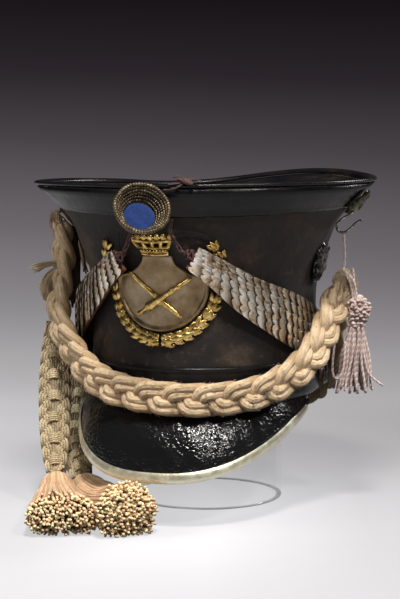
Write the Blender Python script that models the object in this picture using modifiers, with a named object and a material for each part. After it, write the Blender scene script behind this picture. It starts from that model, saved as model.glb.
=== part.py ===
# Tall shako hat with festoon cords, chin scales, plate and cockade, on a clear ring stand.
# Metres, +Z up. The front of the hat faces -Y. It is built about the stand's axis, then shifted
# so that the origin is on the floor under the middle of all but the hanging cords.
# Places on the hat are given as a turn in degrees from the front (+ towards +X), a height, and a
# stand-off from the felt. Tables are in millimetres and degrees.
import math

import bmesh
import bpy
from mathutils import Matrix, Vector

MM = 0.001
GAP = 0.3                      # running gap between neighbouring pieces
ROUND_STEPS = 36               # points round the hat

# Felt body: height, half width across, half depth front to back
BODY_SECTIONS = (
    (86.0, 86.3, 101.8),
    (172.0, 86.3, 101.0),
    (204.0, 97.0, 108.0),
    (218.0, 103.0, 112.0),
    (225.0, 109.0, 116.0),
)
FLARE_START = 225.0            # above this the wall runs straight out to the rim
RIM_RADIUS_OUT = 132.5
FELT_WALL = 2.6
BASE_HEIGHT = 86.0
# Top edge of the rim, which has sagged out of true: turn, height
RIM_HEIGHTS = (
    (-175.0, 246.2),
    (-166.0, 243.9),
    (-148.0, 242.2),
    (-129.0, 244.6),
    (-110.0, 246.2),
    (-75.0, 247.2),
    (-35.0, 248.8),
    (0.0, 249.0),
    (35.0, 250.2),
    (75.0, 250.5),
    (107.0, 251.0),
    (124.0, 252.2),
    (141.0, 253.9),
    (155.0, 253.6),
    (171.0, 250.5),
)
FELT_BELOW_RIM = 4.4           # from the rim's top edge down to the felt's
CROWN_TOP_HEIGHT = 233.5       # underside of the flat middle of the top
CROWN_TOP_WALL = 2.2
# Lower edge of the upper leather band at the front and back, and at the sides
UPPER_BAND_EDGES = (225.0, 228.5)
BAND_WALL = 1.6
LOWER_BAND_TOP = 114.5

# Peak: the outer edge is a flattened half oval that drops as it comes forward
PEAK_HALF_WIDTH = 87.9
PEAK_ROOT_LINE = -18.0         # depth of the two corners
PEAK_REACH = 111.0             # from the corners to the tip
PEAK_CORNER_HEIGHT = 80.5
PEAK_DROP = 45.5
PEAK_WIDTH_POWER = 2.0 / 2.58
PEAK_REACH_POWER = 2.0 / 1.67
PEAK_WALL = 2.4
PEAK_BULGE = 4.0
PEAK_STEPS = 24
PEAK_ROWS = (0.0, 0.25, 0.5, 0.75, 1.0)   # from the root to the edge
TRIM_REACH = 7.0               # how far the metal edging lies over the leather

# Plate on the front
PLATE_TURN = -2.0
PLATE_HEIGHT = 177.5           # centre of the round shield
SHIELD_RADIUS = 37.0
SHIELD_WALL = 1.8
SHIELD_DOME = 2.2
WREATH_RADIUS = 43.9
WREATH_HALF_WIDTH = 4.6
WREATH_OPEN_ANGLE = 47.0       # from the top to each end
WREATH_LEAVES = 12             # pairs of leaves along the whole wreath

# Cockade: a conical cup of lace with a cloth centre
COCKADE_MOUTH = 20.5
COCKADE_FLOOR = 12.0
COCKADE_DEPTH = 14.0
COCKADE_PLACE = (-8.0, -141.4, 226.0)
COCKADE_AXIS = (0.43, -0.73, 0.53)

# Chin scales: turn, height, half width, stand-off of the leather
RIGHT_STRAP = (
    (13.5, 196.0, 9.0, 7.0),
    (23.0, 185.5, 11.0, 8.0),
    (38.3, 167.5, 14.0, 8.0),
    (54.0, 154.0, 16.5, 6.5),
    (66.5, 144.5, 19.0, 5.0),
    (80.0, 134.0, 20.0, 5.5),
    (90.0, 123.0, 19.0, 6.0),
    (98.0, 112.0, 15.5, 4.8),
    (104.0, 101.5, 11.0, 3.5),
)
LEFT_STRAP = (
    (-19.0, 193.0, 9.0, 7.0),
    (-29.0, 181.0, 11.0, 8.0),
    (-43.0, 165.5, 14.0, 8.6),
    (-57.0, 153.0, 16.5, 9.4),
    (-68.0, 143.5, 19.0, 10.6),
    (-81.0, 133.5, 20.0, 10.8),
    (-90.0, 123.0, 19.0, 8.6),
    (-98.0, 112.0, 15.5, 5.4),
    (-104.0, 101.5, 11.0, 3.5),
)
STRAP_WALL = 1.6
SCALE_ROWS = 18
SCALE_LIFT = 1.9               # how far each row's free edge stands up

# Cast bosses: turn, height, radius
EAR_BOSS = (104.0, 99.5, 11.5)
LION_BOSS = (90.0, 186.5, 16.6)
HOOK_BOSS = (90.0, 232.0, 11.0)

# Hooks at the two sides: distance from the axis and height, in the plane through both sides
HOOK_ROUTE = (
    (117.8, 224.6),
    (113.0, 221.6),
    (108.3, 218.8),
    (104.6, 214.6),
    (105.2, 210.6),
    (108.4, 208.7),
    (112.2, 209.6),
    (116.0, 212.8),
    (119.6, 216.3),
    (124.3, 218.7),
)
HOOK_WIRE = 0.9                # radius

# Plaited festoon cords: turn, height, stand-off of the centre
FRONT_FESTOON = (
    (-80.0, 219.0, 12.0),
    (-78.0, 203.0, 15.0),
    (-75.0, 184.0, 20.0),
    (-72.0, 165.0, 25.5),
    (-69.0, 147.0, 27.2),
    (-63.0, 131.0, 23.0),
    (-53.0, 116.5, 15.8),
    (-40.0, 105.0, 12.0),
    (-22.0, 97.5, 11.5),
    (0.0, 93.5, 11.5),
    (22.0, 92.5, 11.5),
    (43.0, 96.5, 12.0),
    (59.0, 107.0, 14.0),
    (70.0, 121.0, 17.0),
    (79.0, 138.0, 18.5),
    (86.0, 154.0, 20.0),
    (89.5, 169.0, 22.5),
    (90.0, 179.5, 21.0),
)
BACK_FESTOON = (
    (-94.2, 205.5, 13.2),
    (-98.5, 196.0, 15.0),
    (-107.5, 173.0, 17.0),
    (-120.0, 135.0, 17.0),
    (-133.0, 103.0, 14.0),
    (-150.0, 77.0, 11.0),
    (-168.0, 66.5, 10.0),
    (-188.0, 64.5, 10.0),
    (-207.0, 66.0, 10.0),
    (-224.0, 74.0, 11.0),
    (-239.0, 90.0, 13.0),
    (-250.0, 112.0, 16.0),
    (-255.5, 138.0, 19.0),
    (-257.0, 152.0, 20.5),
    (-260.0, 166.0, 21.0),
    (-265.0, 177.0, 21.0),
)
FRONT_PLAIT_HALF_WIDTH = 12.6
BACK_PLAIT_HALF_WIDTH = 10.0
PLAIT_HALF_THICKNESS = 6.2
PLAIT_PITCH = 22.0
PLAIT_TAPER = 22.0             # length of each end that narrows to half the width

# Woven ovals that hang at the left: x, y, height of the spine from top to bottom
FRONT_OVAL_SPINE = (
    (-115.0, -26.0, 136.0),
    (-109.0, -45.0, 95.0),
    (-101.5, -65.0, 57.0),
    (-93.7, -82.2, 27.5),
)
REAR_OVAL_SPINE = (
    (-109.0, 8.5, 94.0),
    (-104.5, -4.0, 75.0),
    (-99.0, -28.0, 47.0),
    (-80.5, -62.8, 21.3),
)
OVAL_HALF_WIDTHS = (11.5, 12.5)
OVAL_HALF_THICKNESS = 4.6
OVAL_WRAPS = 7
# Big tassels that lie on the floor: start and centre of the cut ends
FRONT_TASSEL = ((-92.6, -84.5), (-52.5, -172.0))
REAR_TASSEL = ((-78.9, -64.8), (-14.0, -148.0))
# Share of the length, half width, half height, height of the middle
FRONT_TASSEL_FORM = (
    (0.0, 4.5, 4.0, 24.3),
    (0.10, 8.5, 6.5, 20.0),
    (0.19, 7.0, 6.0, 16.0),
    (0.26, 11.0, 8.0, 13.5),
    (0.5, 17.0, 11.5, 12.2),
    (0.8, 22.5, 14.0, 14.5),
    (1.0, 24.5, 15.4, 15.9),
)
REAR_TASSEL_FORM = (
    (0.0, 4.5, 4.0, 19.5),
    (0.10, 8.5, 6.0, 17.0),
    (0.19, 7.0, 6.0, 14.0),
    (0.26, 10.5, 8.0, 12.5),
    (0.5, 13.5, 11.0, 11.8),
    (0.72, 15.3, 14.5, 15.0),
    (1.0, 17.3, 20.0, 20.5),
)
TASSEL_LOCKS = 8

# Round cords that carry the ovals: x, y, height
CORD_RADIUS = 1.7
FRONT_OVAL_CORD = (
    (-111.4, 0.3, 207.6),
    (-114.5, 1.8, 193.0),
    (-117.0, 0.0, 173.0),
    (-117.0, -9.0, 156.0),
    (-115.1, -25.7, 136.7),
)
REAR_OVAL_CORD = (
    (-107.5, 0.3, 207.2),
    (-109.5, 6.0, 185.0),
    (-111.0, 9.5, 155.0),
    (-110.5, 10.5, 125.0),
    (-109.2, 8.8, 95.2),
)
HOOK_CORD = (
    (110.0, 0.0, 207.5),
    (110.4, 0.6, 200.0),
    (110.9, 0.4, 190.0),
    (110.4, 0.0, 180.5),
)
LEFT_LOOP = (
    (-109.4, -0.9, 211.0),
    (-111.5, -8.0, 217.0),
    (-112.8, -14.5, 222.0),
    (-113.6, -19.5, 223.6),
    (-113.9, -21.3, 221.4),
)
SMALL_TASSEL_PLACE = (119.5, 0.0, 148.0)
SMALL_TASSEL_HEM = 86.5
# Leather thongs over the front: turn, height, stand-off
RIGHT_THONG = (
    (5.5, 223.8, 2.3),
    (5.0, 216.5, 6.2),
    (6.0, 210.0, 7.2),
    (8.0, 204.0, 7.6),
    (9.8, 199.8, 8.2),
    (13.1, 196.5, 7.8),
)
LEFT_THONG = (
    (-9.5, 223.8, 2.3),
    (-12.0, 214.0, 5.0),
    (-14.0, 206.0, 5.5),
    (-15.6, 200.0, 7.0),
    (-18.6, 193.6, 7.8),
)
THONG_RADIUS = 1.5

STAND_RADIUS = 60.0
STAND_WALL = 4.0


def table_value(table, x, column):
    """Smooth value of one column of a table whose first column rises or falls steadily."""
    rows = table if table[0][0] < table[-1][0] else table[::-1]
    last = len(rows) - 1
    x = min(max(x, rows[0][0]), rows[last][0])
    i = max(k for k in range(last) if rows[k][0] <= x or k == 0)
    x0, x1 = rows[i][0], rows[i + 1][0]
    t = (x - x0) / (x1 - x0)
    before = rows[max(i - 1, 0)]
    after = rows[min(i + 2, last)]
    slope0 = (rows[i + 1][column] - before[column]) / (x1 - before[0])
    slope1 = (after[column] - rows[i][column]) / (after[0] - x0)
    h = (x1 - x0)
    y0, y1 = rows[i][column], rows[i + 1][column]
    return (y0 * (1 + 2 * t) * (1 - t) ** 2 + h * slope0 * t * (1 - t) ** 2
            + y1 * t * t * (3 - 2 * t) + h * slope1 * t * t * (t - 1))


def linear_value(table, x, column):
    """Straight-line value of one column of a table."""
    x = min(max(x, table[0][0]), table[-1][0])
    for low, high in zip(table, table[1:]):
        if x <= high[0]:
            return low[column] + (high[column] - low[column]) * (x - low[0]) / (high[0] - low[0])
    return table[-1][column]


def rim_height(turn):
    """Height of the rim's top edge at a turn, smooth all the way round."""
    wrapped = (turn + 180.0) % 360.0 - 180.0
    rows = [(t - 360.0, h) for t, h in RIM_HEIGHTS[-2:]]
    rows += list(RIM_HEIGHTS)
    rows += [(t + 360.0, h) for t, h in RIM_HEIGHTS[:2]]
    return table_value(rows, wrapped, 1)


def upper_band_edge(turn):
    """Height of the upper band's lower edge at a turn."""
    low, high = UPPER_BAND_EDGES
    return low + (high - low) * math.sin(math.radians(turn)) ** 2


def half_axes(turn, height):
    """Half width and half depth of the felt at a height; the flare ends at the local rim."""
    a = linear_value(BODY_SECTIONS, height, 1)
    b = linear_value(BODY_SECTIONS, height, 2)
    share = max(0.0, (height - FLARE_START) / (rim_height(turn) - FLARE_START))
    return a + (RIM_RADIUS_OUT - a) * share, b + (RIM_RADIUS_OUT - b) * share


def on_hat(turn, height, stand_off):
    """Point in millimetres at a turn and height, a stand-off out from the felt."""
    a, b = half_axes(turn, height)
    angle = math.radians(turn)
    return Vector(((a + stand_off) * math.sin(angle), -(b + stand_off) * math.cos(angle), height))


def outward(turn, height=BASE_HEIGHT):
    """Level unit vector that points straight out of the hat at a turn."""
    a = linear_value(BODY_SECTIONS, height, 1)
    b = linear_value(BODY_SECTIONS, height, 2)
    angle = math.radians(turn)
    return Vector((math.sin(angle) / a, -math.cos(angle) / b, 0.0)).normalized()


def on_front(across, height, stand_off):
    """Point on the plate's curved ground: distance across it, height, stand-off."""
    turn = PLATE_TURN + math.degrees(across / (linear_value(BODY_SECTIONS, height, 1) + 3.0))
    return on_hat(turn, height, stand_off)


def smooth_route(points, count):
    """Evenly spaced points on a smooth curve through the given points."""
    points = [Vector(p) for p in points]
    fine = []
    for i in range(len(points) - 1):
        p0 = points[max(i - 1, 0)]
        p1, p2 = points[i], points[i + 1]
        p3 = points[min(i + 2, len(points) - 1)]
        for k in range(24):
            t = k / 24
            fine.append(0.5 * (2 * p1 + (p2 - p0) * t + (2 * p0 - 5 * p1 + 4 * p2 - p3) * t * t
                               + (3 * p1 - p0 - 3 * p2 + p3) * t ** 3))
    fine.append(points[-1])
    along = [0.0]
    for a, b in zip(fine, fine[1:]):
        along.append(along[-1] + (b - a).length)
    route = []
    k = 0
    for i in range(count):
        want = along[-1] * i / (count - 1)
        while k < len(fine) - 2 and along[k + 1] < want:
            k += 1
        span = along[k + 1] - along[k]
        route.append(fine[k].lerp(fine[k + 1], (want - along[k]) / span if span else 0.0))
    return route


def route_length(points):
    """Length of a row of points."""
    return sum((b - a).length for a, b in zip(points, points[1:]))


def material(name, colour, roughness, metallic=0.0):
    """Plain Principled material in the part's colour."""
    mat = bpy.data.materials.new(name)
    mat.use_nodes = True
    shader = mat.node_tree.nodes["Principled BSDF"]
    shader.inputs["Base Color"].default_value = (*colour, 1.0)
    shader.inputs["Roughness"].default_value = roughness
    shader.inputs["Metallic"].default_value = metallic
    mat.diffuse_color = (*colour, 1.0)
    return mat


def add_object(name, mesh, mat, collection):
    """Put a mesh in the collection under a name."""
    obj = bpy.data.objects.new(name, mesh)
    mesh.materials.clear()
    mesh.materials.append(mat)
    collection.objects.link(obj)
    return obj


def loft(name, rings, mat, collection, closed=False):
    """Solid through rings of points in millimetres; closed joins the last ring to the first."""
    bm = bmesh.new()
    rows = [[bm.verts.new(Vector(p) * MM) for p in ring] for ring in rings]
    count = len(rows[0])
    pairs = list(zip(rows, rows[1:]))
    if closed:
        pairs.append((rows[-1], rows[0]))
    for low, high in pairs:
        for i in range(count):
            j = (i + 1) % count
            bm.faces.new((low[i], low[j], high[j], high[i]))
    if not closed:
        bm.faces.new(rows[0])
        bm.faces.new(rows[-1])
    bmesh.ops.recalc_face_normals(bm, faces=bm.faces)
    mesh = bpy.data.meshes.new(name)
    bm.to_mesh(mesh)
    bm.free()
    mesh.shade_smooth()
    mesh.set_sharp_from_angle(angle=math.radians(40.0))
    return add_object(name, mesh, mat, collection)


def ring_section(name, sections, mat, collection):
    """Ring round the hat; sections(turn) gives the closed outline at each turn."""
    rings = [sections(-180.0 + 360.0 * i / ROUND_STEPS) for i in range(ROUND_STEPS)]
    return loft(name, rings, mat, collection, closed=True)


def turned(name, profile, steps, mat, collection):
    """Turned solid about +Z: profile of radius and height in millimetres, top to bottom."""
    mesh = bpy.data.meshes.new(name)
    vertices = [(r * MM, 0.0, z * MM) for r, z in profile]
    mesh.from_pydata(vertices, [(i, i + 1) for i in range(len(vertices) - 1)], [])
    obj = add_object(name, mesh, mat, collection)
    screw = obj.modifiers.new("turn", 'SCREW')
    screw.steps = steps
    screw.render_steps = steps
    screw.use_merge_vertices = True
    screw.merge_threshold = 0.00005
    return obj


def tube(name, points, radius, mat, collection, resolution=2):
    """Round wire or cord with closed ends along points in millimetres."""
    curve = bpy.data.curves.new(name, 'CURVE')
    curve.dimensions = '3D'
    curve.bevel_depth = radius * MM
    curve.bevel_resolution = resolution
    curve.use_fill_caps = True
    spline = curve.splines.new('POLY')
    spline.points.add(len(points) - 1)
    for point, place in zip(spline.points, points):
        point.co = (*(Vector(place) * MM), 1.0)
    obj = bpy.data.objects.new(name, curve)
    curve.materials.append(mat)
    collection.objects.link(obj)
    return obj


def point_along(obj, place, direction):
    """Stand an object's +Z along a direction at a place in millimetres."""
    turn = Vector(direction).to_track_quat('Z', 'Y').to_matrix().to_4x4()
    obj.matrix_world = Matrix.Translation(Vector(place) * MM) @ turn


def make_felt_body(mats, collection):
    """Open-bottomed felt body that flares to the rim."""
    heights = [row[0] for row in BODY_SECTIONS]

    def section(turn):
        levels = heights + [rim_height(turn) - FELT_BELOW_RIM]
        outer = [on_hat(turn, z, 0.0) for z in levels]
        inner = [on_hat(turn, z, -FELT_WALL) for z in reversed(levels)]
        return outer + inner
    return ring_section("felt_body", section, mats["felt"], collection)


def make_crown_top(mats, collection):
    """Leather top: flat in the middle, rising to the rim all round."""
    radii = (62.0, 100.0)

    def ring(level, radius):
        points = []
        for i in range(ROUND_STEPS):
            turn = -180.0 + 360.0 * i / ROUND_STEPS
            edge_height = rim_height(turn) - FELT_BELOW_RIM - CROWN_TOP_WALL - GAP
            edge = on_hat(turn, edge_height, -FELT_WALL - GAP - 0.3)
            reach = math.hypot(edge.x, edge.y)
            radius_here = reach if radius is None else radius
            share = max(0.0, (radius_here - radii[0]) / (reach - radii[0])) ** 2
            height = CROWN_TOP_HEIGHT + level + (edge_height - CROWN_TOP_HEIGHT) * share
            flat = Vector((edge.x, edge.y, 0.0)).normalized() * radius_here
            points.append((flat.x, flat.y, height))
        return points
    rings = [ring(0.0, r) for r in radii + (None,)]
    rings += [ring(CROWN_TOP_WALL, r) for r in (None,) + radii[::-1]]
    return loft("crown_top", rings, mats["top_leather"], collection)


def make_rim_binding(mats, collection):
    """Rounded leather binding folded over the felt's top edge."""
    def section(turn):
        top = rim_height(turn)
        felt_top = top - FELT_BELOW_RIM
        a, b = half_axes(turn, felt_top)
        angle = math.radians(turn)
        seat = math.hypot(a * math.sin(angle), b * math.cos(angle))
        outline = (
            (seat - FELT_WALL - 0.8, felt_top + 0.4),
            (seat + 2.2, felt_top + 0.4),
            (RIM_RADIUS_OUT, top - 2.6),
            (RIM_RADIUS_OUT - 0.4, top - 0.9),
            (RIM_RADIUS_OUT - 1.9, top),
            (seat - FELT_WALL - 0.8, top - 1.2),
        )
        heading = math.atan2(a * math.sin(angle), b * math.cos(angle))
        return [(r * math.sin(heading), -r * math.cos(heading), z) for r, z in outline]
    return ring_section("rim_binding", section, mats["top_leather"], collection)


def make_upper_band(mats, collection):
    """Leather band round the flare, below the binding."""
    def section(turn):
        top = rim_height(turn) - FELT_BELOW_RIM
        low = upper_band_edge(turn)
        levels = (low, (low + top) / 2.0, top)
        outer = [on_hat(turn, z, 3 * GAP + BAND_WALL) for z in levels]
        inner = [on_hat(turn, z, 3 * GAP) for z in reversed(levels)]
        return outer + inner
    return ring_section("upper_band", section, mats["top_leather"], collection)


def make_lower_band(mats, collection):
    """Leather band round the base with a rolled upper edge."""
    profile = (
        (BASE_HEIGHT + 0.4, GAP + BAND_WALL),
        (LOWER_BAND_TOP - 4.0, GAP + BAND_WALL),
        (LOWER_BAND_TOP - 1.6, GAP + 2.5),
        (LOWER_BAND_TOP, GAP),
        (BASE_HEIGHT + 0.4, GAP),
    )

    def section(turn):
        return [on_hat(turn, z, w) for z, w in profile]
    return ring_section("lower_band", section, mats["top_leather"], collection)


def peak_point(phase, share):
    """Point of the peak's middle surface: phase runs corner to corner, share root to edge."""
    c, s = math.cos(phase), math.sin(phase)
    reach = s ** PEAK_REACH_POWER
    edge = Vector((PEAK_HALF_WIDTH * math.copysign(abs(c) ** PEAK_WIDTH_POWER, c),
                   PEAK_ROOT_LINE - PEAK_REACH * reach,
                   PEAK_CORNER_HEIGHT - PEAK_DROP * reach))
    corner_turn = math.degrees(math.acos(-PEAK_ROOT_LINE / 102.0))
    turn = corner_turn * (1.0 - 2.0 * phase / math.pi)
    root = on_hat(turn, BASE_HEIGHT, 0.0)
    root.z = BASE_HEIGHT - PEAK_WALL / 2
    bulge = PEAK_BULGE * 4.0 * share * (1.0 - share) * s
    out = outward(turn)
    return root.lerp(edge, share) + Vector((out.x, out.y, 0.6)) * bulge


def peak_phase(i):
    """Phase of one of the steps along the peak, closer together near the corners."""
    share = i / PEAK_STEPS
    return math.pi * share - 0.28 * math.sin(math.tau * share)


def peak_frame(i):
    """Outward slope and surface normal at the peak's outer edge, over one facet either way."""
    edge = peak_point(peak_phase(i), 1.0)
    down = (edge - peak_point(peak_phase(i), PEAK_ROWS[-2])).normalized()
    along = peak_point(peak_phase(i + 1), 1.0) - peak_point(peak_phase(i - 1), 1.0)
    normal = down.cross(along).normalized()
    if normal.dot(Vector((edge.x, edge.y, edge.z))) < 0.0:
        normal = -normal
    return down, normal


def make_peak(mats, collection):
    """Leather peak: an open surface given its thickness."""
    bm = bmesh.new()
    rows = []
    for share in PEAK_ROWS:
        row = []
        for i in range(PEAK_STEPS + 1):
            phase = peak_phase(i)
            row.append(bm.verts.new(peak_point(phase, share) * MM))
        rows.append(row)
    for low, high in zip(rows, rows[1:]):
        for i in range(PEAK_STEPS):
            bm.faces.new((low[i], low[i + 1], high[i + 1], high[i]))
    bmesh.ops.recalc_face_normals(bm, faces=bm.faces)
    mesh = bpy.data.meshes.new("peak")
    bm.to_mesh(mesh)
    bm.free()
    mesh.shade_smooth()
    obj = add_object("peak", mesh, mats["peak_leather"], collection)
    solid = obj.modifiers.new("wall", 'SOLIDIFY')
    solid.thickness = PEAK_WALL * MM
    solid.offset = 0.0
    return obj


def make_peak_trim(mats, collection):
    """Metal edging folded over the outer edge of the peak."""
    half = PEAK_WALL / 2 + GAP + 0.15
    metal = 0.75
    outline = (
        (-TRIM_REACH, half),
        (-TRIM_REACH, half + metal),
        (0.2, half + metal),
        (1.4, 0.0),
        (0.2, -half - metal),
        (-TRIM_REACH * 0.6, -half - metal),
        (-TRIM_REACH * 0.6, -half),
        (GAP, -half),
        (GAP, half),
    )
    rings = []
    for i in range(2, PEAK_STEPS - 1):
        phase = peak_phase(i)
        edge = peak_point(phase, 1.0)
        down, normal = peak_frame(i)
        slant = min(1.0, (edge - peak_point(phase, 0.0)).length / 20.0)
        rings.append([edge + down * (s * slant if s < 0 else s) + normal * n for s, n in outline])
    return loft("peak_trim", rings, mats["nickel"], collection)


def shield_outline():
    """Half outline of the shield plate: across and height, from the bottom to the crown."""
    points = []
    for i in range(9):
        angle = math.radians(-90.0 + 11.25 * i)
        points.append((SHIELD_RADIUS * math.cos(angle),
                       PLATE_HEIGHT + SHIELD_RADIUS * math.sin(angle)))
    points += [(33.5, 181.5), (25.0, 183.0), (18.0, 186.5), (13.0, 191.0), (10.5, 196.4)]
    return points


def shield_front(across, height):
    """Stand-off of the shield's domed front."""
    reach = math.hypot(across, height - PLATE_HEIGHT) / SHIELD_RADIUS
    return 0.6 + SHIELD_WALL + SHIELD_DOME * max(0.0, 1.0 - reach * reach)


def make_shield(mats, collection):
    """Domed shield plate with a raised rim, bent round the hat."""
    half = shield_outline()
    outline = half + [(-x, z) for x, z in reversed(half[1:])]
    centre = Vector((0.0, 172.0))
    shares = (0.06, 0.5, 0.85, 0.94, 1.0)
    lifts = (0.0, 0.0, 0.0, 1.3, 0.2)
    rings = []
    for share in shares:
        rings.append([centre.lerp(Vector(p), share) for p in outline])
    back = [[on_front(p.x, p.y, 0.6) for p in ring] for ring in rings]
    front = [[on_front(p.x, p.y, shield_front(p.x, p.y) + (lift if p.y < PLATE_HEIGHT else 0.0))
              for p in ring] for ring, lift in zip(rings, lifts)]
    return loft("plate_shield", back + front[::-1], mats["silver"], collection)


def make_plate_crown(mats, collection):
    """Royal crown over the shield, pierced between its arches."""
    base = 196.9
    outer = [(-10.0, base), (10.0, base), (10.6, base + 4.5), (13.5, base + 8.0), (16.0, base + 12.5),
             (11.0, base + 12.0), (8.0, base + 15.5), (4.0, base + 13.0), (0.0, base + 17.0),
             (-4.0, base + 13.0), (-8.0, base + 15.5), (-11.0, base + 12.0), (-16.0, base + 12.5),
             (-13.5, base + 8.0), (-10.6, base + 4.5)]
    curve = bpy.data.curves.new("crown_outline", 'CURVE')
    curve.dimensions = '2D'
    curve.fill_mode = 'BOTH'
    curve.extrude = 1.25 * MM
    loops = [outer]
    for middle in (-8.5, -2.9, 2.9, 8.5):
        lean = middle * 0.12
        loops.append([(middle - 1.5, base + 5.5), (middle + lean - 1.7, base + 9.5),
                      (middle + lean + 1.7, base + 9.5), (middle + 1.5, base + 5.5)])
    for loop in loops:
        spline = curve.splines.new('POLY')
        spline.points.add(len(loop) - 1)
        for point, (x, z) in zip(spline.points, loop):
            point.co = (x * MM, z * MM, 0.0, 1.0)
        spline.use_cyclic_u = True
    source = bpy.data.objects.new("crown_outline", curve)
    collection.objects.link(source)
    bpy.context.view_layer.update()
    evaluated = source.evaluated_get(bpy.context.evaluated_depsgraph_get())
    mesh = bpy.data.meshes.new_from_object(evaluated)
    bpy.data.objects.remove(source)
    bm = bmesh.new()
    bm.from_mesh(mesh)
    bmesh.ops.remove_doubles(bm, verts=bm.verts, dist=0.00001)
    for vert in bm.verts:
        stand_off = 3.4 + vert.co.z / MM
        vert.co = on_front(vert.co.x / MM, vert.co.y / MM, stand_off) * MM
    bmesh.ops.recalc_face_normals(bm, faces=bm.faces)
    bm.to_mesh(mesh)
    bm.free()
    return add_object("plate_crown", mesh, mats["gilt"], collection)


def make_wreath(mats, collection):
    """Laurel wreath round the lower part of the shield, with leaf tips along both edges."""
    steps = WREATH_LEAVES * 4
    rings = []
    for i in range(steps + 1):
        share = i / steps
        angle = math.radians(WREATH_OPEN_ANGLE + (360.0 - 2 * WREATH_OPEN_ANGLE) * share)
        saw = (i % 4) / 3.0
        if share > 0.5:
            saw = 1.0 - saw
        narrow = min(1.0, 0.35 + 5.0 * min(share, 1.0 - share))
        out = WREATH_HALF_WIDTH * narrow * (0.72 + 0.36 * saw)
        centre = Vector((math.sin(angle), math.cos(angle)))
        place = Vector((0.0, PLATE_HEIGHT - 0.6))

        def at(reach, stand_off):
            p = place + centre * reach
            return on_front(p.x, p.y, stand_off)
        inner = max(WREATH_RADIUS - out, SHIELD_RADIUS + 1.6)
        outer = WREATH_RADIUS + out
        rings.append([at(inner, 0.8), at(inner, 1.8 + saw), at(WREATH_RADIUS, 3.4 + 0.8 * saw),
                      at(outer, 1.8 + saw), at(outer, 0.8)])
    return loft("plate_wreath", rings, mats["gilt"], collection)


def weapon(name, start, end, rows, lift, mat, collection):
    """Cast weapon lying on the shield: rows give place along it, half width, height."""
    start, end = Vector(start), Vector(end)
    along = (end - start).normalized()
    side = Vector((-along.y, along.x))
    length = (end - start).length
    rings = []
    for place, half_width, height in rows:
        ring = []
        for k in range(8):
            phase = math.tau * k / 8
            p = start + along * length * place + side * half_width * math.cos(phase)
            ground = shield_front(p.x, p.y) + lift
            ring.append(on_front(p.x, p.y, ground + height * 0.5 * (1.0 + math.sin(phase))))
        rings.append(ring)
    return loft(name, rings, mat, collection)


def make_weapons(mats, collection):
    """Crossed sword and gun barrel."""
    sword = ((0.0, 0.5, 1.0), (0.06, 1.7, 1.5), (0.6, 1.9, 1.7), (0.64, 4.6, 1.7), (0.69, 4.6, 1.7),
             (0.72, 1.5, 1.7), (0.92, 1.6, 1.7), (0.94, 2.7, 1.7), (1.0, 1.6, 1.6))
    barrel = ((0.0, 2.9, 2.6), (0.07, 3.0, 2.6), (0.09, 2.2, 2.6), (0.5, 2.6, 2.6), (0.55, 3.2, 2.6),
              (0.85, 3.1, 2.6), (0.89, 3.7, 2.6), (0.92, 1.3, 2.2), (0.96, 1.9, 2.4), (1.0, 1.0, 1.6))
    weapon("plate_sword", (-19.5, 182.3), (17.3, 151.8), sword, GAP, mats["gilt"], collection)
    weapon("plate_cannon", (22.0, 180.3), (-15.5, 152.0), barrel, 2 * GAP + 1.9, mats["gilt"], collection)


def mesh_from(obj):
    """Plain mesh copy of an object as evaluated, with its caps welded."""
    bpy.context.view_layer.update()
    evaluated = obj.evaluated_get(bpy.context.evaluated_depsgraph_get())
    mesh = bpy.data.meshes.new_from_object(evaluated)
    bm = bmesh.new()
    bm.from_mesh(mesh)
    bmesh.ops.remove_doubles(bm, verts=bm.verts, dist=0.00001)
    bmesh.ops.recalc_face_normals(bm, faces=bm.faces)
    bm.to_mesh(mesh)
    bm.free()
    return mesh


def make_cockade(mats, collection, cutters):
    """Conical lace cup on a short shank, and its cloth centre."""
    rise = COCKADE_MOUTH - COCKADE_FLOOR
    profile = [(0.0, 0.0)]
    for i in range(3):
        share = i / 2
        profile.append((COCKADE_FLOOR + rise * share, COCKADE_DEPTH * share))
    profile += [(COCKADE_MOUTH + 1.2, COCKADE_DEPTH + 0.4), (COCKADE_MOUTH + 1.4, COCKADE_DEPTH - 1.6)]
    profile += [(COCKADE_FLOOR + 1.8, -1.0), (COCKADE_FLOOR * 0.6, -2.4), (0.0, -2.4)]
    cup = turned("cockade_cup", profile, 20, mats["lace"], collection)
    point_along(cup, COCKADE_PLACE, COCKADE_AXIS)
    back = Vector(COCKADE_PLACE) + Vector(COCKADE_AXIS).normalized() * -3.6
    seat = on_hat(-5.5, 231.0, 2 * GAP + BAND_WALL + 1.6)
    shank = tube("cockade_shank", [back, back.lerp(seat, 0.5), seat], 3.6, mats["lace"], cutters, 2)
    joined = bpy.data.objects.new("cockade_shank_solid", mesh_from(shank))
    cutters.objects.link(joined)
    bpy.data.objects.remove(shank)
    union = cup.modifiers.new("shank", 'BOOLEAN')
    union.operation = 'UNION'
    union.object = joined
    disc = [(0.0, 3.2), (COCKADE_FLOOR * 0.6, 2.9), (COCKADE_FLOOR - 0.6, 2.0), (COCKADE_FLOOR - 0.4, GAP),
            (0.0, GAP)]
    centre = turned("cockade_centre", disc, 20, mats["blue_cloth"], collection)
    point_along(centre, COCKADE_PLACE, COCKADE_AXIS)


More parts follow.
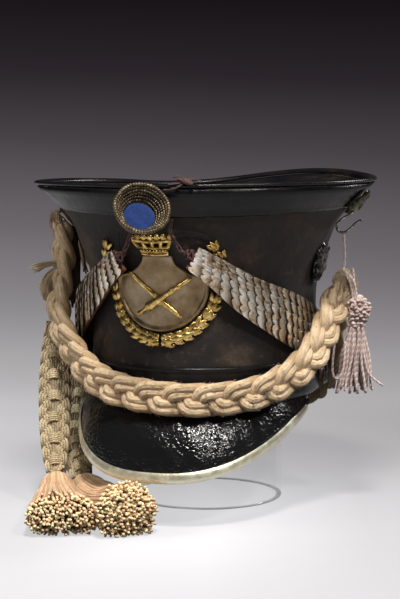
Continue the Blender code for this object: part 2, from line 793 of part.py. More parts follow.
def strap_frames(table, count):
    """Evenly spaced centre points, sideways and outward directions along a strap."""
    turns = [row[0] for row in table]
    centres = smooth_route([on_hat(row[0], row[1], row[3]) for row in table], count)
    frames = []
    for i, centre in enumerate(centres):
        ahead = centres[min(i + 1, count - 1)] - centres[max(i - 1, 0)]
        ahead.normalize()
        turn = math.degrees(math.atan2(centre.x, -centre.y))
        out = outward(turn)
        out = (out - ahead * out.dot(ahead)).normalized()
        side = ahead.cross(out).normalized()
        if side.z < 0.0:
            side = -side
        share = i / (count - 1) * (len(turns) - 1)
        low = min(int(share), len(turns) - 2)
        half_width = table[low][2] + (table[low + 1][2] - table[low][2]) * (share - low)
        frames.append((centre, side, out, half_width))
    return frames


def strap_sag(across, half_width):
    """How far a strap's edges fall back from its middle, as it bends over the hat."""
    return 0.10 * half_width * across * across


def make_strap(name, table, mats, collection):
    """Leather strap that carries the scales."""
    rings = []
    for centre, side, out, half_width in strap_frames(table, 13):
        front = [(a, STRAP_WALL) for a in (-1.0, -0.5, 0.5, 1.0)]
        back = [(a, 0.0) for a in (1.0, 0.0, -1.0)]
        rings.append([centre + side * half_width * 0.94 * a + out * (w - strap_sag(a, half_width))
                      for a, w in front + back])
    return loft(name, rings, mats["strap_leather"], collection)


def make_scales(name, table, mats, collection):
    """Overlapping rows of metal scales on the strap; each row's free edge points to the front."""
    # The rows stop short of the ear, where the boss holds the strap
    frames = strap_frames(table, SCALE_ROWS * 2 + 6)[:SCALE_ROWS * 2 + 1]
    ground = STRAP_WALL + 3.0 * GAP
    rings = []
    for i, (centre, side, out, half_width) in enumerate(frames):
        lift = ground + 0.9 + (SCALE_LIFT if i % 2 == 0 and i < 2 * SCALE_ROWS else 0.3)
        wide = half_width * (1.0 if i % 2 == 0 else 0.95)
        front = [(a, lift - (0.5 if abs(a) == 1.0 else 0.0)) for a in (-1.0, -0.5, 0.5, 1.0)]
        back = [(a, ground) for a in (1.0, 0.0, -1.0)]
        rings.append([centre + side * wide * a + out * (w - strap_sag(a, half_width))
                      for a, w in front + back])
    return loft(name, rings, mats["scale_metal"], collection)


def make_boss(name, place, side, profile_rows, mat, collection, tilt=0.0):
    """Cast round boss standing out of the hat's side; side is 1 right and -1 left."""
    turn, height, radius = place
    profile = [(radius * r, h) for r, h in profile_rows]
    obj = turned(name, profile, 14, mat, collection)
    centre = on_hat(side * turn, height, 0.0)
    out = outward(side * turn)
    axis = Vector((out.x, out.y, -math.tan(math.radians(tilt))))
    seat = centre + Vector((out.x, out.y, 0.0)) * place_stand_off(height)
    point_along(obj, seat, axis)
    return obj


def place_stand_off(height):
    """Stand-off of the surface that a boss sits on: the scale strap, the band or the felt."""
    if height < LOWER_BAND_TOP:
        return 5.8
    if height > UPPER_BAND_EDGES[0]:
        return 4 * GAP + BAND_WALL + 0.5
    return 0.8


def make_bosses(mats, collection):
    """Ear bosses, lion-mask bosses and hook bosses, a pair of each."""
    ear = ((0.0, 4.6), (0.35, 4.4), (0.55, 2.8), (0.75, 3.4), (1.0, 2.2), (1.0, 0.6), (0.9, 0.0), (0.0, 0.0))
    lion = ((0.0, 7.0), (0.3, 6.2), (0.5, 4.6), (0.78, 3.2), (1.0, 1.6), (1.0, 0.4), (0.9, 0.0), (0.0, 0.0))
    hook = ((0.0, 4.6), (0.3, 4.2), (0.6, 2.8), (1.0, 1.6), (1.0, 0.3), (0.9, 0.0), (0.0, 0.0))
    for label, side in (("right", 1), ("left", -1)):
        make_boss("ear_boss_" + label, EAR_BOSS, side, ear, mats["bronze"], collection)
        make_boss("lion_boss_" + label, LION_BOSS, side, lion, mats["bronze"], collection, tilt=18.0)
        make_boss("hook_boss_" + label, HOOK_BOSS, side, hook, mats["bronze"], collection, tilt=45.0)


def make_hooks(mats, collection):
    """S-shaped wire hooks that hang from the hook bosses."""
    for label, side in (("right", 1), ("left", -1)):
        route = smooth_route([(side * r, 0.0, z) for r, z in HOOK_ROUTE], 18)
        tube("hook_" + label, route, HOOK_WIRE, mats["bronze"], collection, 1)


def make_plait(name, table, half_width, mats, collection):
    """Flat plaited cord with the lobes of its strands along both edges."""
    centres = smooth_route([on_hat(*row) for row in table], 200)
    length = route_length(centres)
    count = int(length / (PLAIT_PITCH / 2.0)) + 1
    centres = smooth_route([on_hat(*row) for row in table], count)
    rings = []
    for i, centre in enumerate(centres):
        ahead = (centres[min(i + 1, count - 1)] - centres[max(i - 1, 0)]).normalized()
        turn = math.degrees(math.atan2(centre.x, -centre.y))
        out = outward(turn)
        out = (out - ahead * out.dot(ahead)).normalized()
        side = ahead.cross(out).normalized()
        along = length * i / (count - 1)
        taper = min(1.0, 0.5 + 0.5 * min(along, length - along) / PLAIT_TAPER)
        ring = []
        for k in range(8):
            phase = math.tau * k / 8
            wave = math.cos(math.tau * (along / PLAIT_PITCH + (0.5 if math.cos(phase) < 0 else 0.0)))
            wide = (half_width + 1.1 * wave) * taper
            thick = PLAIT_HALF_THICKNESS * taper
            ring.append(centre + side * wide * math.cos(phase) + out * thick * math.sin(phase))
        rings.append(ring)
    return loft(name, rings, mats["braid"], collection)


def make_tuft(mats, collection):
    """Frayed end of the festoon's cord that sticks out at the left."""
    start = on_hat(-74.7, 182.0, 27.4)
    tip = on_hat(-75.5, 178.0, 46.0)
    ahead = (tip - start).normalized()
    side = ahead.cross(Vector((0.0, 0.0, 1.0))).normalized()
    rise = side.cross(ahead)
    rings = []
    for share, radius in ((0.0, 2.2), (0.5, 3.8), (1.0, 5.2)):
        rings.append([start.lerp(tip, share) + (side * math.cos(math.tau * k / 8)
                      + rise * math.sin(math.tau * k / 8)) * radius * (1.0 if k % 2 else 0.7)
                      for k in range(8)])
    return loft("festoon_tuft", rings, mats["braid"], collection)


def make_oval(name, spine, half_width, mats, collection):
    """Woven oval: side loops bound to a spine by a row of wraps."""
    count = OVAL_WRAPS * 3 + 1
    centres = smooth_route(spine, count)
    # The flat face looks to the front left, where it is seen
    facing = Vector((0.29, -0.95, 0.0))
    rings = []
    for i, centre in enumerate(centres):
        ahead = (centres[min(i + 1, count - 1)] - centres[max(i - 1, 0)]).normalized()
        out = (facing - ahead * facing.dot(ahead)).normalized()
        side = ahead.cross(out).normalized()
        share = i / (count - 1)
        bow = max(0.18, math.sin(math.pi * share)) ** 0.55
        wave = math.cos(math.tau * OVAL_WRAPS * share)
        wide = half_width * bow * (1.0 + 0.06 * wave)
        thick = OVAL_HALF_THICKNESS * (0.45 + 0.5 * bow) * (1.0 + 0.14 * wave)
        rings.append([centre + side * wide * math.cos(math.tau * k / 8)
                      + out * thick * math.sin(math.tau * k / 8) for k in range(8)])
    return loft(name, rings, mats["straw_cord"], collection)


def make_big_tassel(name, ends, form, mats, collection):
    """Flared tassel of thick strings lying on the floor, in locks that end unevenly."""
    start, end = Vector(ends[0]), Vector(ends[1])
    level = (end - start).normalized()
    side = Vector((-level.y, level.x))
    sides = TASSEL_LOCKS * 2
    rings = []
    for share, half_width, half_height, middle in form:
        centre = start.lerp(end, share)
        ring = []
        for k in range(sides):
            phase = math.tau * k / sides
            lock = 1.0 if k % 2 == 0 else 1.0 - 0.14 * share
            uneven = 2.4 * math.sin(2.3 * k) if share == 1.0 else 0.0
            point = centre + level * uneven + side * half_width * lock * math.cos(phase)
            height = max(middle + half_height * lock * math.sin(phase), GAP)
            ring.append((point.x, point.y, height))
        rings.append(ring)
    return loft(name, rings, mats["tassel"], collection)


def make_small_tassel(mats, collection):
    """Small hanging tassel: suspension cord, netted head and a skirt in locks."""
    x, y, head = SMALL_TASSEL_PLACE
    top = 181.5
    # height, radius, sideways lean
    rows = ((top, 1.2, -4.9), (head + 16.0, 1.3, -2.4), (head + 11.5, 3.0, -1.0), (head + 7.0, 7.0, 0.4),
            (head, 8.2, 1.6), (head - 7.0, 7.4, 1.2), (head - 12.0, 5.6, 0.6), (head - 20.0, 8.0, 0.0),
            (head - 38.0, 11.6, -1.0), (SMALL_TASSEL_HEM, 14.2, -1.0))
    rings = []
    for height, radius, lean in rows:
        ring = []
        for k in range(12):
            phase = math.tau * k / 12
            share = max(0.0, (head - 12.0 - height) / (head - 12.0 - SMALL_TASSEL_HEM))
            lock = 1.0 if k % 2 == 0 else 1.0 - 0.2 * share
            uneven = 2.0 * math.sin(1.9 * k) if height == SMALL_TASSEL_HEM else 0.0
            ring.append((x + lean + radius * lock * math.cos(phase),
                         y + radius * lock * math.sin(phase), height + uneven))
        rings.append(ring)
    return loft("small_tassel", rings, mats["pink_cord"], collection)


def make_cords(mats, collection):
    """Cords from the hooks to the ovals and to the festoon's ends."""
    routes = (
        ("oval_cord_front", FRONT_OVAL_CORD, 11, mats["straw_cord"]),
        ("oval_cord_rear", REAR_OVAL_CORD, 13, mats["straw_cord"]),
        ("hook_cord_right", HOOK_CORD, 5, mats["pink_cord"]),
        ("hook_cord_left", LEFT_LOOP, 6, mats["braid"]),
    )
    for name, points, count, mat in routes:
        tube(name, smooth_route(points, count), CORD_RADIUS, mat, collection)


def make_thongs(mats, collection):
    """Leather thongs that tie the scale straps up, and their knot on the rim."""
    for name, table in (("thong_right", RIGHT_THONG), ("thong_left", LEFT_THONG)):
        route = smooth_route([on_hat(*row) for row in table], 8)
        tube(name, route, THONG_RADIUS, mats["thong"], collection)
    seat = on_hat(11.0, rim_height(11.0), 0.0)
    knot = ((0.0, 4.2), (2.6, 3.4), (4.6, 1.6), (4.8, 0.6), (3.6, 0.0), (0.0, 0.0))
    obj = turned("rim_knot", knot, 12, mats["thong"], collection)
    flat = Vector((seat.x, seat.y, 0.0)).normalized() * (RIM_RADIUS_OUT - 3.0)
    point_along(obj, (flat.x, flat.y, rim_height(11.0) + 3 * GAP), (0.0, 0.0, 1.0))


def make_stand(mats, collection):
    """Plain clear tube that the hat rests on."""
    top = CROWN_TOP_HEIGHT - GAP
    inner = STAND_RADIUS - STAND_WALL
    profile = ((inner, top), (STAND_RADIUS, top), (STAND_RADIUS, 0.0), (inner, 0.0), (inner, top))
    obj = turned("stand_tube", profile, ROUND_STEPS, mats["clear"], collection)
    return obj


def make_materials():
    """One material for each kind of surface."""
    return {
        "felt": material("felt", (0.035, 0.028, 0.025), 0.9),
        "top_leather": material("top_leather", (0.012, 0.012, 0.014), 0.35),
        "peak_leather": material("peak_leather", (0.010, 0.010, 0.012), 0.3),
        "nickel": material("nickel", (0.55, 0.56, 0.48), 0.35, 1.0),
        "silver": material("silver", (0.42, 0.36, 0.32), 0.4, 1.0),
        "gilt": material("gilt", (0.72, 0.50, 0.18), 0.35, 1.0),
        "lace": material("lace", (0.38, 0.32, 0.20), 0.6, 0.6),
        "blue_cloth": material("blue_cloth", (0.01, 0.06, 0.42), 0.9),
        "strap_leather": material("strap_leather", (0.16, 0.07, 0.05), 0.7),
        "scale_metal": material("scale_metal", (0.62, 0.60, 0.55), 0.35, 1.0),
        "bronze": material("bronze", (0.20, 0.19, 0.17), 0.45, 1.0),
        "braid": material("braid", (0.60, 0.46, 0.30), 0.9),
        "straw_cord": material("straw_cord", (0.52, 0.45, 0.29), 0.9),
        "tassel": material("tassel", (0.62, 0.42, 0.27), 0.9),
        "pink_cord": material("pink_cord", (0.50, 0.38, 0.36), 0.9),
        "thong": material("thong", (0.12, 0.06, 0.05), 0.7),
        "clear": material("clear", (0.9, 0.92, 0.92), 0.05),
    }


def centre_on_floor(objects):
    """Shift everything so the origin lies midway between the cockade's front and the rim's back."""
    bpy.context.view_layer.update()
    depsgraph = bpy.context.evaluated_depsgraph_get()

    def depths(name):
        piece = bpy.data.objects[name].evaluated_get(depsgraph)
        return [(piece.matrix_world @ vertex.co).y for vertex in piece.data.vertices]
    middle = (min(depths("cockade_cup")) + max(depths("rim_binding"))) / 2.0
    for obj in objects:
        obj.matrix_world = Matrix.Translation((0.0, -middle, 0.0)) @ obj.matrix_world


def main():
    for obj in list(bpy.data.objects):
        bpy.data.objects.remove(obj)
    collection = bpy.data.collections.new("shako_hat")
    cutters = bpy.data.collections.new("cutters")
    bpy.context.scene.collection.children.link(collection)
    bpy.context.scene.collection.children.link(cutters)
    mats = make_materials()
    make_felt_body(mats, collection)
    make_crown_top(mats, collection)
    make_rim_binding(mats, collection)
    make_upper_band(mats, collection)
    make_lower_band(mats, collection)
    make_peak(mats, collection)
    make_peak_trim(mats, collection)
    make_shield(mats, collection)
    make_plate_crown(mats, collection)
    make_wreath(mats, collection)
    make_weapons(mats, collection)
    make_cockade(mats, collection, cutters)
    make_strap("strap_right", RIGHT_STRAP, mats, collection)
    make_strap("strap_left", LEFT_STRAP, mats, collection)
    make_scales("scales_right", RIGHT_STRAP, mats, collection)
    make_scales("scales_left", LEFT_STRAP, mats, collection)
    make_bosses(mats, collection)
    make_hooks(mats, collection)
    make_plait("front_festoon", FRONT_FESTOON, FRONT_PLAIT_HALF_WIDTH, mats, collection)
    make_plait("back_festoon", BACK_FESTOON, BACK_PLAIT_HALF_WIDTH, mats, collection)
    make_tuft(mats, collection)
    make_oval("oval_front", FRONT_OVAL_SPINE, OVAL_HALF_WIDTHS[0], mats, collection)
    make_oval("oval_rear", REAR_OVAL_SPINE, OVAL_HALF_WIDTHS[1], mats, collection)
    make_big_tassel("tassel_front", FRONT_TASSEL, FRONT_TASSEL_FORM, mats, collection)
    make_big_tassel("tassel_rear", REAR_TASSEL, REAR_TASSEL_FORM, mats, collection)
    make_small_tassel(mats, collection)
    make_cords(mats, collection)
    make_thongs(mats, collection)
    make_stand(mats, collection)
    for cutter in cutters.objects:
        cutter.hide_render = True
        cutter.display_type = 'WIRE'
    centre_on_floor(list(collection.objects) + list(cutters.objects))


main()
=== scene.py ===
# Shako hat on a clear tube stand: the looks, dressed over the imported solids.
# Places are in millimetres about the stand's axis: +Z up, the hat's front towards -Y.
# A place on the hat is a turn in degrees from the front (+ towards +X), a height and a stand-off.
import math

import bpy
import numpy as np
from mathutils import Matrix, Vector, noise


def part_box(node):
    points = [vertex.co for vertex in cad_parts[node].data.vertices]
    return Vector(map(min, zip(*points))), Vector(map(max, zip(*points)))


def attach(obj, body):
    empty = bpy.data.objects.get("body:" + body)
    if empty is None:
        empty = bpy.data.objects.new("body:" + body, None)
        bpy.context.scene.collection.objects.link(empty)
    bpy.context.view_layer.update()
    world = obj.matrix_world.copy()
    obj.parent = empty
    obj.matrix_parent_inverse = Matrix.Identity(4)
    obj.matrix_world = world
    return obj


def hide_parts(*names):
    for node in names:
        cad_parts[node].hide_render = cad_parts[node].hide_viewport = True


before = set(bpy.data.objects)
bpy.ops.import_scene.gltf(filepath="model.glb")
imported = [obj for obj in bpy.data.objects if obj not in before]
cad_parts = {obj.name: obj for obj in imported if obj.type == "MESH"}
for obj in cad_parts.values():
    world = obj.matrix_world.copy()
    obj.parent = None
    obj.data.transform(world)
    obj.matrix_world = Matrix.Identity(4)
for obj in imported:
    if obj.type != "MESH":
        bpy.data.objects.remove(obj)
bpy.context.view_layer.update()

MM = 0.001
tube_low, tube_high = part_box("stand_tube")
AXIS = np.array([(tube_low.x + tube_high.x) / 2, (tube_low.y + tube_high.y) / 2, 0.0])
RANDOM = np.random.default_rng(7)

# Camera: a little right of the front and slightly above; angles in degrees, places in metres
CAMERA_AZIMUTH = 17.0
CAMERA_DISTANCE = 1.4
CAMERA_HEIGHT = 0.30
CAMERA_PITCH = 5.95
CAMERA_YAW = 0.175             # turned to the left
CAMERA_LENS = 108.18
CAMERA_SENSOR = 36.0

# Felt body: height, half width, half depth
BODY_SECTIONS = np.array((
    (84.0, 86.3, 101.8),
    (128.0, 85.8, 101.2),
    (172.0, 86.5, 101.0),
    (204.0, 97.0, 108.0),
    (218.0, 103.0, 112.0),
    (225.0, 109.0, 116.0),
    (246.5, 132.5, 132.5),
))
FLARE_START = 225.0
FLARE_HEIGHT = 21.5
HEAD_HALF_WIDTH = 86.3
HEAD_HALF_DEPTH = 101.8
FELT_WALL = 2.6
BASE_HEIGHT = 86.0
RIM_OUT = 132.5
FELT_BELOW_RIM = 4.4
# Top edge of the rim: turn, height
RIM_HEIGHTS = (
    (-175.0, 246.2),
    (-166.0, 243.9),
    (-148.0, 242.2),
    (-129.0, 244.6),
    (-110.0, 246.2),
    (-75.0, 247.2),
    (-35.0, 248.8),
    (0.0, 249.0),
    (35.0, 250.2),
    (75.0, 250.5),
    (107.0, 251.0),
    (124.0, 252.2),
    (141.0, 253.9),
    (155.0, 253.6),
    (171.0, 250.5),
)
# Lower edge of the upper leather band at the front and back, and at the sides
UPPER_BAND_EDGES = (225.0, 228.5)
# Section of the upper band: share of its height, stand-off
UPPER_BAND_PROFILE = ((0.0, 0.8), (0.015, 1.7), (0.06, 2.2), (0.12, 1.9), (0.25, 2.3), (0.45, 2.4),
                      (0.7, 2.4), (1.0, 2.4), (1.0, 0.7), (0.5, 0.7), (0.0, 0.7))
# Section of the lower band: height, stand-off
LOWER_BAND_PROFILE = ((86.2, 0.5), (86.0, 1.4), (86.6, 2.0), (90.0, 2.0), (100.0, 2.1), (109.0, 2.1),
                      (110.6, 2.4), (112.0, 3.0), (113.4, 3.0), (114.4, 2.2), (114.7, 1.2), (114.3, 0.4),
                      (100.0, 0.4))
# Section of the rim's binding: share of its reach, lift; the highest lift is the rim's top edge
RIM_PROFILE = ((0.0, 0.0), (0.6, 0.25), (0.86, 0.5), (1.0, 0.72), (1.03, 0.95), (1.0, 1.2), (0.93, 1.42),
               (0.8, 1.55), (0.6, 1.5), (0.35, 1.36), (0.1, 1.15), (-0.02, 0.9), (-0.02, 0.4))
RIM_TOP_LIFT = 1.55
CROWN_TOP_HEIGHT = 233.5
CROWN_TOP_WALL = 2.2
CROWN_TOP_FLAT = 62.0
# Radii of the crown top's rings; the last one stops at the edge
CROWN_TOP_RINGS = (0.5, 20.0, 40.0, CROWN_TOP_FLAT, 75.0, 88.0, 100.0, 110.0, 118.0, 200.0)
LEVEL = np.array((1.0, 1.0, 0.0))

PEAK_HALF_WIDTH = 87.9
PEAK_ROOT_LINE = -18.0
PEAK_ROOT_DEPTH = 102.0
PEAK_REACH = 111.0
PEAK_CORNER_HEIGHT = 80.5
PEAK_DROP = 45.5
PEAK_WIDTH_POWER = 2.0 / 2.58
PEAK_REACH_POWER = 2.0 / 1.67
PEAK_WALL = 2.4
PEAK_BULGE = 4.0
TRIM_REACH = 6.0

PLATE_TURN = -2.0
PLATE_HEIGHT = 177.5
PLATE_STAND_OFF = 3.0
SHIELD_RADIUS = 37.0
SHIELD_WALL = 1.8
SHIELD_DOME = 2.2
SHIELD_MIDDLE = 174.0
# Raised rim of the shield: share of its outline, lift
SHIELD_RIM = ((0.9, 0.0), (0.915, 0.5), (0.93, 1.2), (0.945, 1.7), (0.96, 1.7), (0.975, 1.3), (0.99, 0.8),
              (1.0, 0.1))
# Neck of the shield from its bowl to its top: across, height
SHIELD_NECK = ((37.0, 177.5), (34.8, 181.0), (29.0, 182.2), (22.0, 184.4), (16.0, 188.0), (12.4, 192.0),
               (11.0, 196.4))
PLATE_CROWN_BASE = 197.6
# Posts of the crown: across at the foot, across at the top
PLATE_CROWN_POSTS = ((-11.2, -14.4), (-5.6, -7.0), (0.2, 0.4), (5.8, 7.4), (11.2, 14.4))
WREATH_RADIUS = 43.9
WREATH_PAIRS = 13
WREATH_START = 171.0
# Arms of the wreath: side, angle of the tip, how far it opens there
WREATH_ARMS = ((-1, 59.0, 10.0), (1, 57.0, 8.0))
# Forms of the weapons: share of the length, half width, height
SWORD_FORM = ((0.0, 0.3, 0.8), (0.04, 0.9, 1.2), (0.12, 1.4, 1.4), (0.35, 1.6, 1.8), (0.55, 1.7, 1.9),
              (0.58, 2.2, 2.2), (0.60, 3.9, 2.4), (0.64, 4.1, 2.6), (0.66, 2.3, 2.6), (0.69, 1.6, 2.3),
              (0.73, 2.1, 2.6), (0.77, 1.6, 2.4), (0.81, 2.1, 2.6), (0.85, 1.6, 2.4), (0.89, 1.9, 2.6),
              (0.92, 1.3, 2.4), (0.95, 1.4, 2.4), (1.0, 0.4, 1.8))
BARREL_FORM = ((0.0, 1.0, 2.0), (0.02, 1.3, 2.4), (0.20, 1.3, 2.4), (0.22, 2.0, 3.0), (0.25, 2.0, 3.0),
               (0.27, 1.4, 2.6), (0.33, 1.5, 2.6), (0.35, 2.2, 3.1), (0.38, 2.2, 3.1), (0.40, 1.8, 2.9),
               (0.54, 2.1, 3.1), (0.56, 2.8, 3.4), (0.60, 2.6, 3.4), (0.70, 2.8, 3.4), (0.73, 3.4, 3.6),
               (0.78, 3.4, 3.6), (0.81, 2.0, 3.0), (0.86, 1.2, 2.5), (0.90, 1.1, 2.4), (0.94, 2.0, 2.7),
               (0.98, 2.0, 2.6), (1.0, 1.0, 1.8))
# Weapons: node, start and end (across, height), form, stand-off from the shield
WEAPONS = (
    ("plate_sword", (-23.6, 184.0), (16.8, 151.2), SWORD_FORM, 0.3),
    ("plate_cannon", (24.6, 181.0), (-16.4, 152.6), BARREL_FORM, 1.9),
)

COCKADE_PLACE = (-8.0, -141.4, 226.0)
COCKADE_AXIS = (0.43, -0.73, 0.53)
COCKADE_SHIFT = 2.1
# Sections of the cup and of the cloth in it: radius, depth
COCKADE_SHELL = ((11.6, 2.0), (13.2, 4.6), (15.8, 9.0), (18.0, 12.6), (19.4, 13.6), (20.2, 13.0),
                 (18.6, 8.0), (16.0, 3.0), (12.8, -1.0), (8.8, -2.4), (4.6, -3.0))
COCKADE_DISC = ((0.05, 4.4), (3.0, 4.5), (6.0, 4.4), (9.0, 4.1), (11.6, 3.6), (12.4, 2.8), (12.2, 1.6),
                (6.0, 1.0))
COCKADE_CLOTH_SINK = (1.0, 0.0, 1.7)
# Beaded coils in the cup: radius, depth, thickness, number of beads
COCKADE_RINGS = ((12.3, 3.3, 0.95, 40), (13.7, 5.5, 1.0, 42), (15.1, 7.7, 1.05, 46), (16.4, 9.9, 1.1, 50),
                 (17.8, 12.0, 1.1, 54), (19.2, 13.6, 1.35, 58))

# Chin scale straps: turn, height, half width, stand-off of the leather
RIGHT_STRAP = (
    (13.5, 196.0, 9.0, 7.0),
    (23.0, 185.5, 11.0, 8.0),
    (38.3, 167.5, 14.0, 8.0),
    (54.0, 154.0, 16.5, 6.5),
    (66.5, 144.5, 19.0, 5.0),
    (80.0, 134.0, 20.0, 5.5),
    (90.0, 123.0, 19.0, 6.0),
    (98.0, 112.0, 15.5, 4.8),
    (104.0, 101.5, 11.0, 3.5),
)
LEFT_STRAP = (
    (-19.0, 193.0, 9.0, 7.0),
    (-29.0, 181.0, 11.0, 8.0),
    (-43.0, 165.5, 14.0, 8.6),
    (-57.0, 153.0, 16.5, 9.4),
    (-68.0, 143.5, 19.0, 10.6),
    (-81.0, 133.5, 20.0, 10.8),
    (-90.0, 123.0, 19.0, 8.6),
    (-98.0, 112.0, 15.5, 5.4),
    (-104.0, 101.5, 11.0, 3.5),
)
STRAP_WALL = 1.6
SCALE_ROWS = 20
SCALLOPS = 5
SCALE_SLANT = 11.0             # how far the rows' upper ends lead their middles

# Lion mask, in shares of the boss's radius: across, up, width, height, relief
LION_FEATURES = (
    (0.0, -0.05, 0.10, 0.30, 0.32),
    (0.0, -0.30, 0.24, 0.14, 0.30),
    (-0.2, 0.28, 0.17, 0.08, 0.18),
    (0.2, 0.28, 0.17, 0.08, 0.18),
    (-0.2, 0.13, 0.09, 0.06, -0.20),
    (0.2, 0.13, 0.09, 0.06, -0.20),
    (0.0, -0.46, 0.17, 0.05, -0.22),
    (-0.42, 0.45, 0.12, 0.12, 0.2),
    (0.42, 0.45, 0.12, 0.12, 0.2),
)
# S-hooks: distance from the axis, height
HOOK_ROUTE = (
    (117.8, 224.6),
    (113.0, 221.6),
    (108.3, 218.8),
    (104.6, 214.6),
    (105.2, 210.6),
    (108.4, 208.7),
    (112.2, 209.6),
    (116.0, 212.8),
    (119.6, 216.3),
    (124.3, 218.7),
)

PLAIT_LOBE = 21.5
PLAIT_LEAD = 0.045              # how far the strands hurry along the edges, in periods
FIBRE_RADIUS = 0.15
LOOP_RADIUS = 2.75
# Rolls at the front plait's ends: which end, way up, then half width, height, lift, drop of the legs
END_LOOPS = (
    (-1, 1.0, ((7.6, 9.0, 3.6, 19.0), (3.1, 4.0, 3.4, 24.0))),
    (0, -1.0, ((3.4, 5.0, 2.0, 14.0),)),
)
# Plaited festoons: turn, height, stand-off of the centre
FRONT_FESTOON = (
    (-80.0, 219.0, 12.0),
    (-78.0, 203.0, 15.0),
    (-75.0, 184.0, 20.0),
    (-72.0, 165.0, 25.5),
    (-69.0, 147.0, 27.2),
    (-63.0, 131.0, 23.0),
    (-53.0, 116.5, 15.8),
    (-40.0, 105.0, 12.0),
    (-22.0, 97.5, 11.5),
    (0.0, 93.5, 11.5),
    (22.0, 92.5, 11.5),
    (43.0, 96.5, 12.0),
    (59.0, 107.0, 14.0),
    (70.0, 121.0, 17.0),
    (79.0, 138.0, 18.5),
    (86.0, 154.0, 20.0),
    (89.5, 169.0, 22.5),
    (90.0, 179.5, 21.0),
)
BACK_FESTOON = (
    (-94.2, 205.5, 13.2),
    (-98.5, 196.0, 15.0),
    (-107.5, 173.0, 17.0),
    (-120.0, 135.0, 17.0),
    (-133.0, 103.0, 14.0),
    (-150.0, 77.0, 11.0),
    (-168.0, 66.5, 10.0),
    (-188.0, 64.5, 10.0),
    (-207.0, 66.0, 10.0),
    (-224.0, 74.0, 11.0),
    (-239.0, 90.0, 13.0),
    (-250.0, 112.0, 16.0),
    (-255.5, 138.0, 19.0),
    (-257.0, 152.0, 20.5),
    (-260.0, 166.0, 21.0),
    (-265.0, 177.0, 21.0),
)
# Middle lines of the woven ovals: across, depth, height
FRONT_OVAL_SPINE = (
    (-115.0, -26.0, 136.0),
    (-109.0, -45.0, 95.0),
    (-101.5, -65.0, 57.0),
    (-93.7, -82.2, 27.5),
)
REAR_OVAL_SPINE = (
    (-109.0, 8.5, 94.0),
    (-104.5, -4.0, 75.0),
    (-99.0, -28.0, 47.0),
    (-80.5, -62.8, 21.3),
)
OVAL_WRAPS = 7
OVAL_BAND = 5.0
OVAL_FACING = (0.29, -0.95, 0.0)
# Woven ovals: node, spine, half width, brightness of the wraps
OVALS = (
    ("oval_front", FRONT_OVAL_SPINE, 12.2, 1.3),
    ("oval_rear", REAR_OVAL_SPINE, 12.8, 1.9),
)
# Forms of the big tassels: share of the length, half width, half height, height of the middle
FRONT_TASSEL_FORM = (
    (0.0, 4.5, 4.0, 24.3),
    (0.10, 12.5, 9.0, 20.0),
    (0.19, 14.0, 10.0, 16.0),
    (0.26, 17.0, 12.0, 13.5),
    (0.5, 21.5, 14.0, 12.2),
    (0.8, 25.5, 15.0, 14.5),
    (1.0, 27.0, 15.4, 15.9),
)
REAR_TASSEL_FORM = (
    (0.0, 4.5, 4.0, 19.5),
    (0.10, 12.5, 8.5, 17.0),
    (0.19, 14.6, 10.3, 14.0),
    (0.26, 17.7, 12.6, 12.5),
    (0.5, 19.8, 14.4, 11.8),
    (0.72, 20.7, 16.7, 15.0),
    (1.0, 22.8, 21.5, 20.5),
)
STRING_RADIUS = 1.05
# Big tassels: node, start and end (across, depth), sag to the side, what the strings add, form
BIG_TASSELS = (
    ("tassel_front", (-92.6, -84.5), (-52.5, -172.0), 0.0, 0.0, FRONT_TASSEL_FORM),
    ("tassel_rear", (-78.9, -64.8), (-14.0, -148.0), -1.5, 13.0, REAR_TASSEL_FORM),
)
# Carrying cords and the cords at the hooks: across, depth, height
CORD_RADIUS = 1.7
CORD_STEP = 0.8
FRONT_OVAL_CORD = (
    (-111.4, 0.3, 207.6),
    (-114.5, 1.8, 193.0),
    (-117.0, 0.0, 173.0),
    (-117.0, -9.0, 156.0),
    (-115.1, -25.7, 136.7),
)
REAR_OVAL_CORD = (
    (-107.5, 0.3, 207.2),
    (-109.5, 6.0, 185.0),
    (-111.0, 9.5, 155.0),
    (-110.5, 10.5, 125.0),
    (-109.2, 8.8, 95.2),
)
HOOK_CORD = (
    (110.0, 0.0, 207.5),
    (110.4, 0.6, 200.0),
    (110.9, 0.4, 190.0),
    (110.4, 0.0, 180.5),
)
LEFT_LOOP = (
    (-109.4, -0.9, 211.0),
    (-111.5, -8.0, 217.0),
    (-112.8, -14.5, 222.0),
    (-113.6, -19.5, 223.6),
    (-113.9, -21.3, 221.4),
)
# Frayed strings: how many, spread at the start, fan, thickness, brightness, places
TUFT_STRINGS = (
    (30, 1.6, 3.6, 0.45, 1.45, ((-74.7, 182.5, 22.0), (-75.0, 182.0, 34.0), (-75.5, 177.5, 47.5))),
    (110, 3.4, 1.6, 0.5, 1.3,
     ((-74.0, 178.0, 22.0), (-74.8, 172.0, 33.0), (-75.0, 163.0, 38.5), (-74.4, 154.0, 34.0))),
)
# The first bundle of dark strings is thick and dense: partly real dark strings, partly a dark mass that fills
# the shade between the plait and the felt, painted shade
DARK_STRINGS_AND_SHADE = (
    (90, 5.0, 3.0, 0.9, 0.9,
     ((-81.0, 210.0, 9.0), (-81.0, 190.0, 13.0), (-77.0, 170.0, 17.5), (-73.0, 148.0, 18.0))),
    (8, 0.8, 1.6, 0.7, 1.2, ((-73.0, 200.0, 1.5), (-69.0, 190.0, 2.5), (-66.0, 176.0, 4.0))),
)
SMALL_TASSEL_PLACE = (119.5, 0.0, 148.0)
SMALL_TASSEL_HEM = 86.5
GOLDEN_TURN = 2.39996
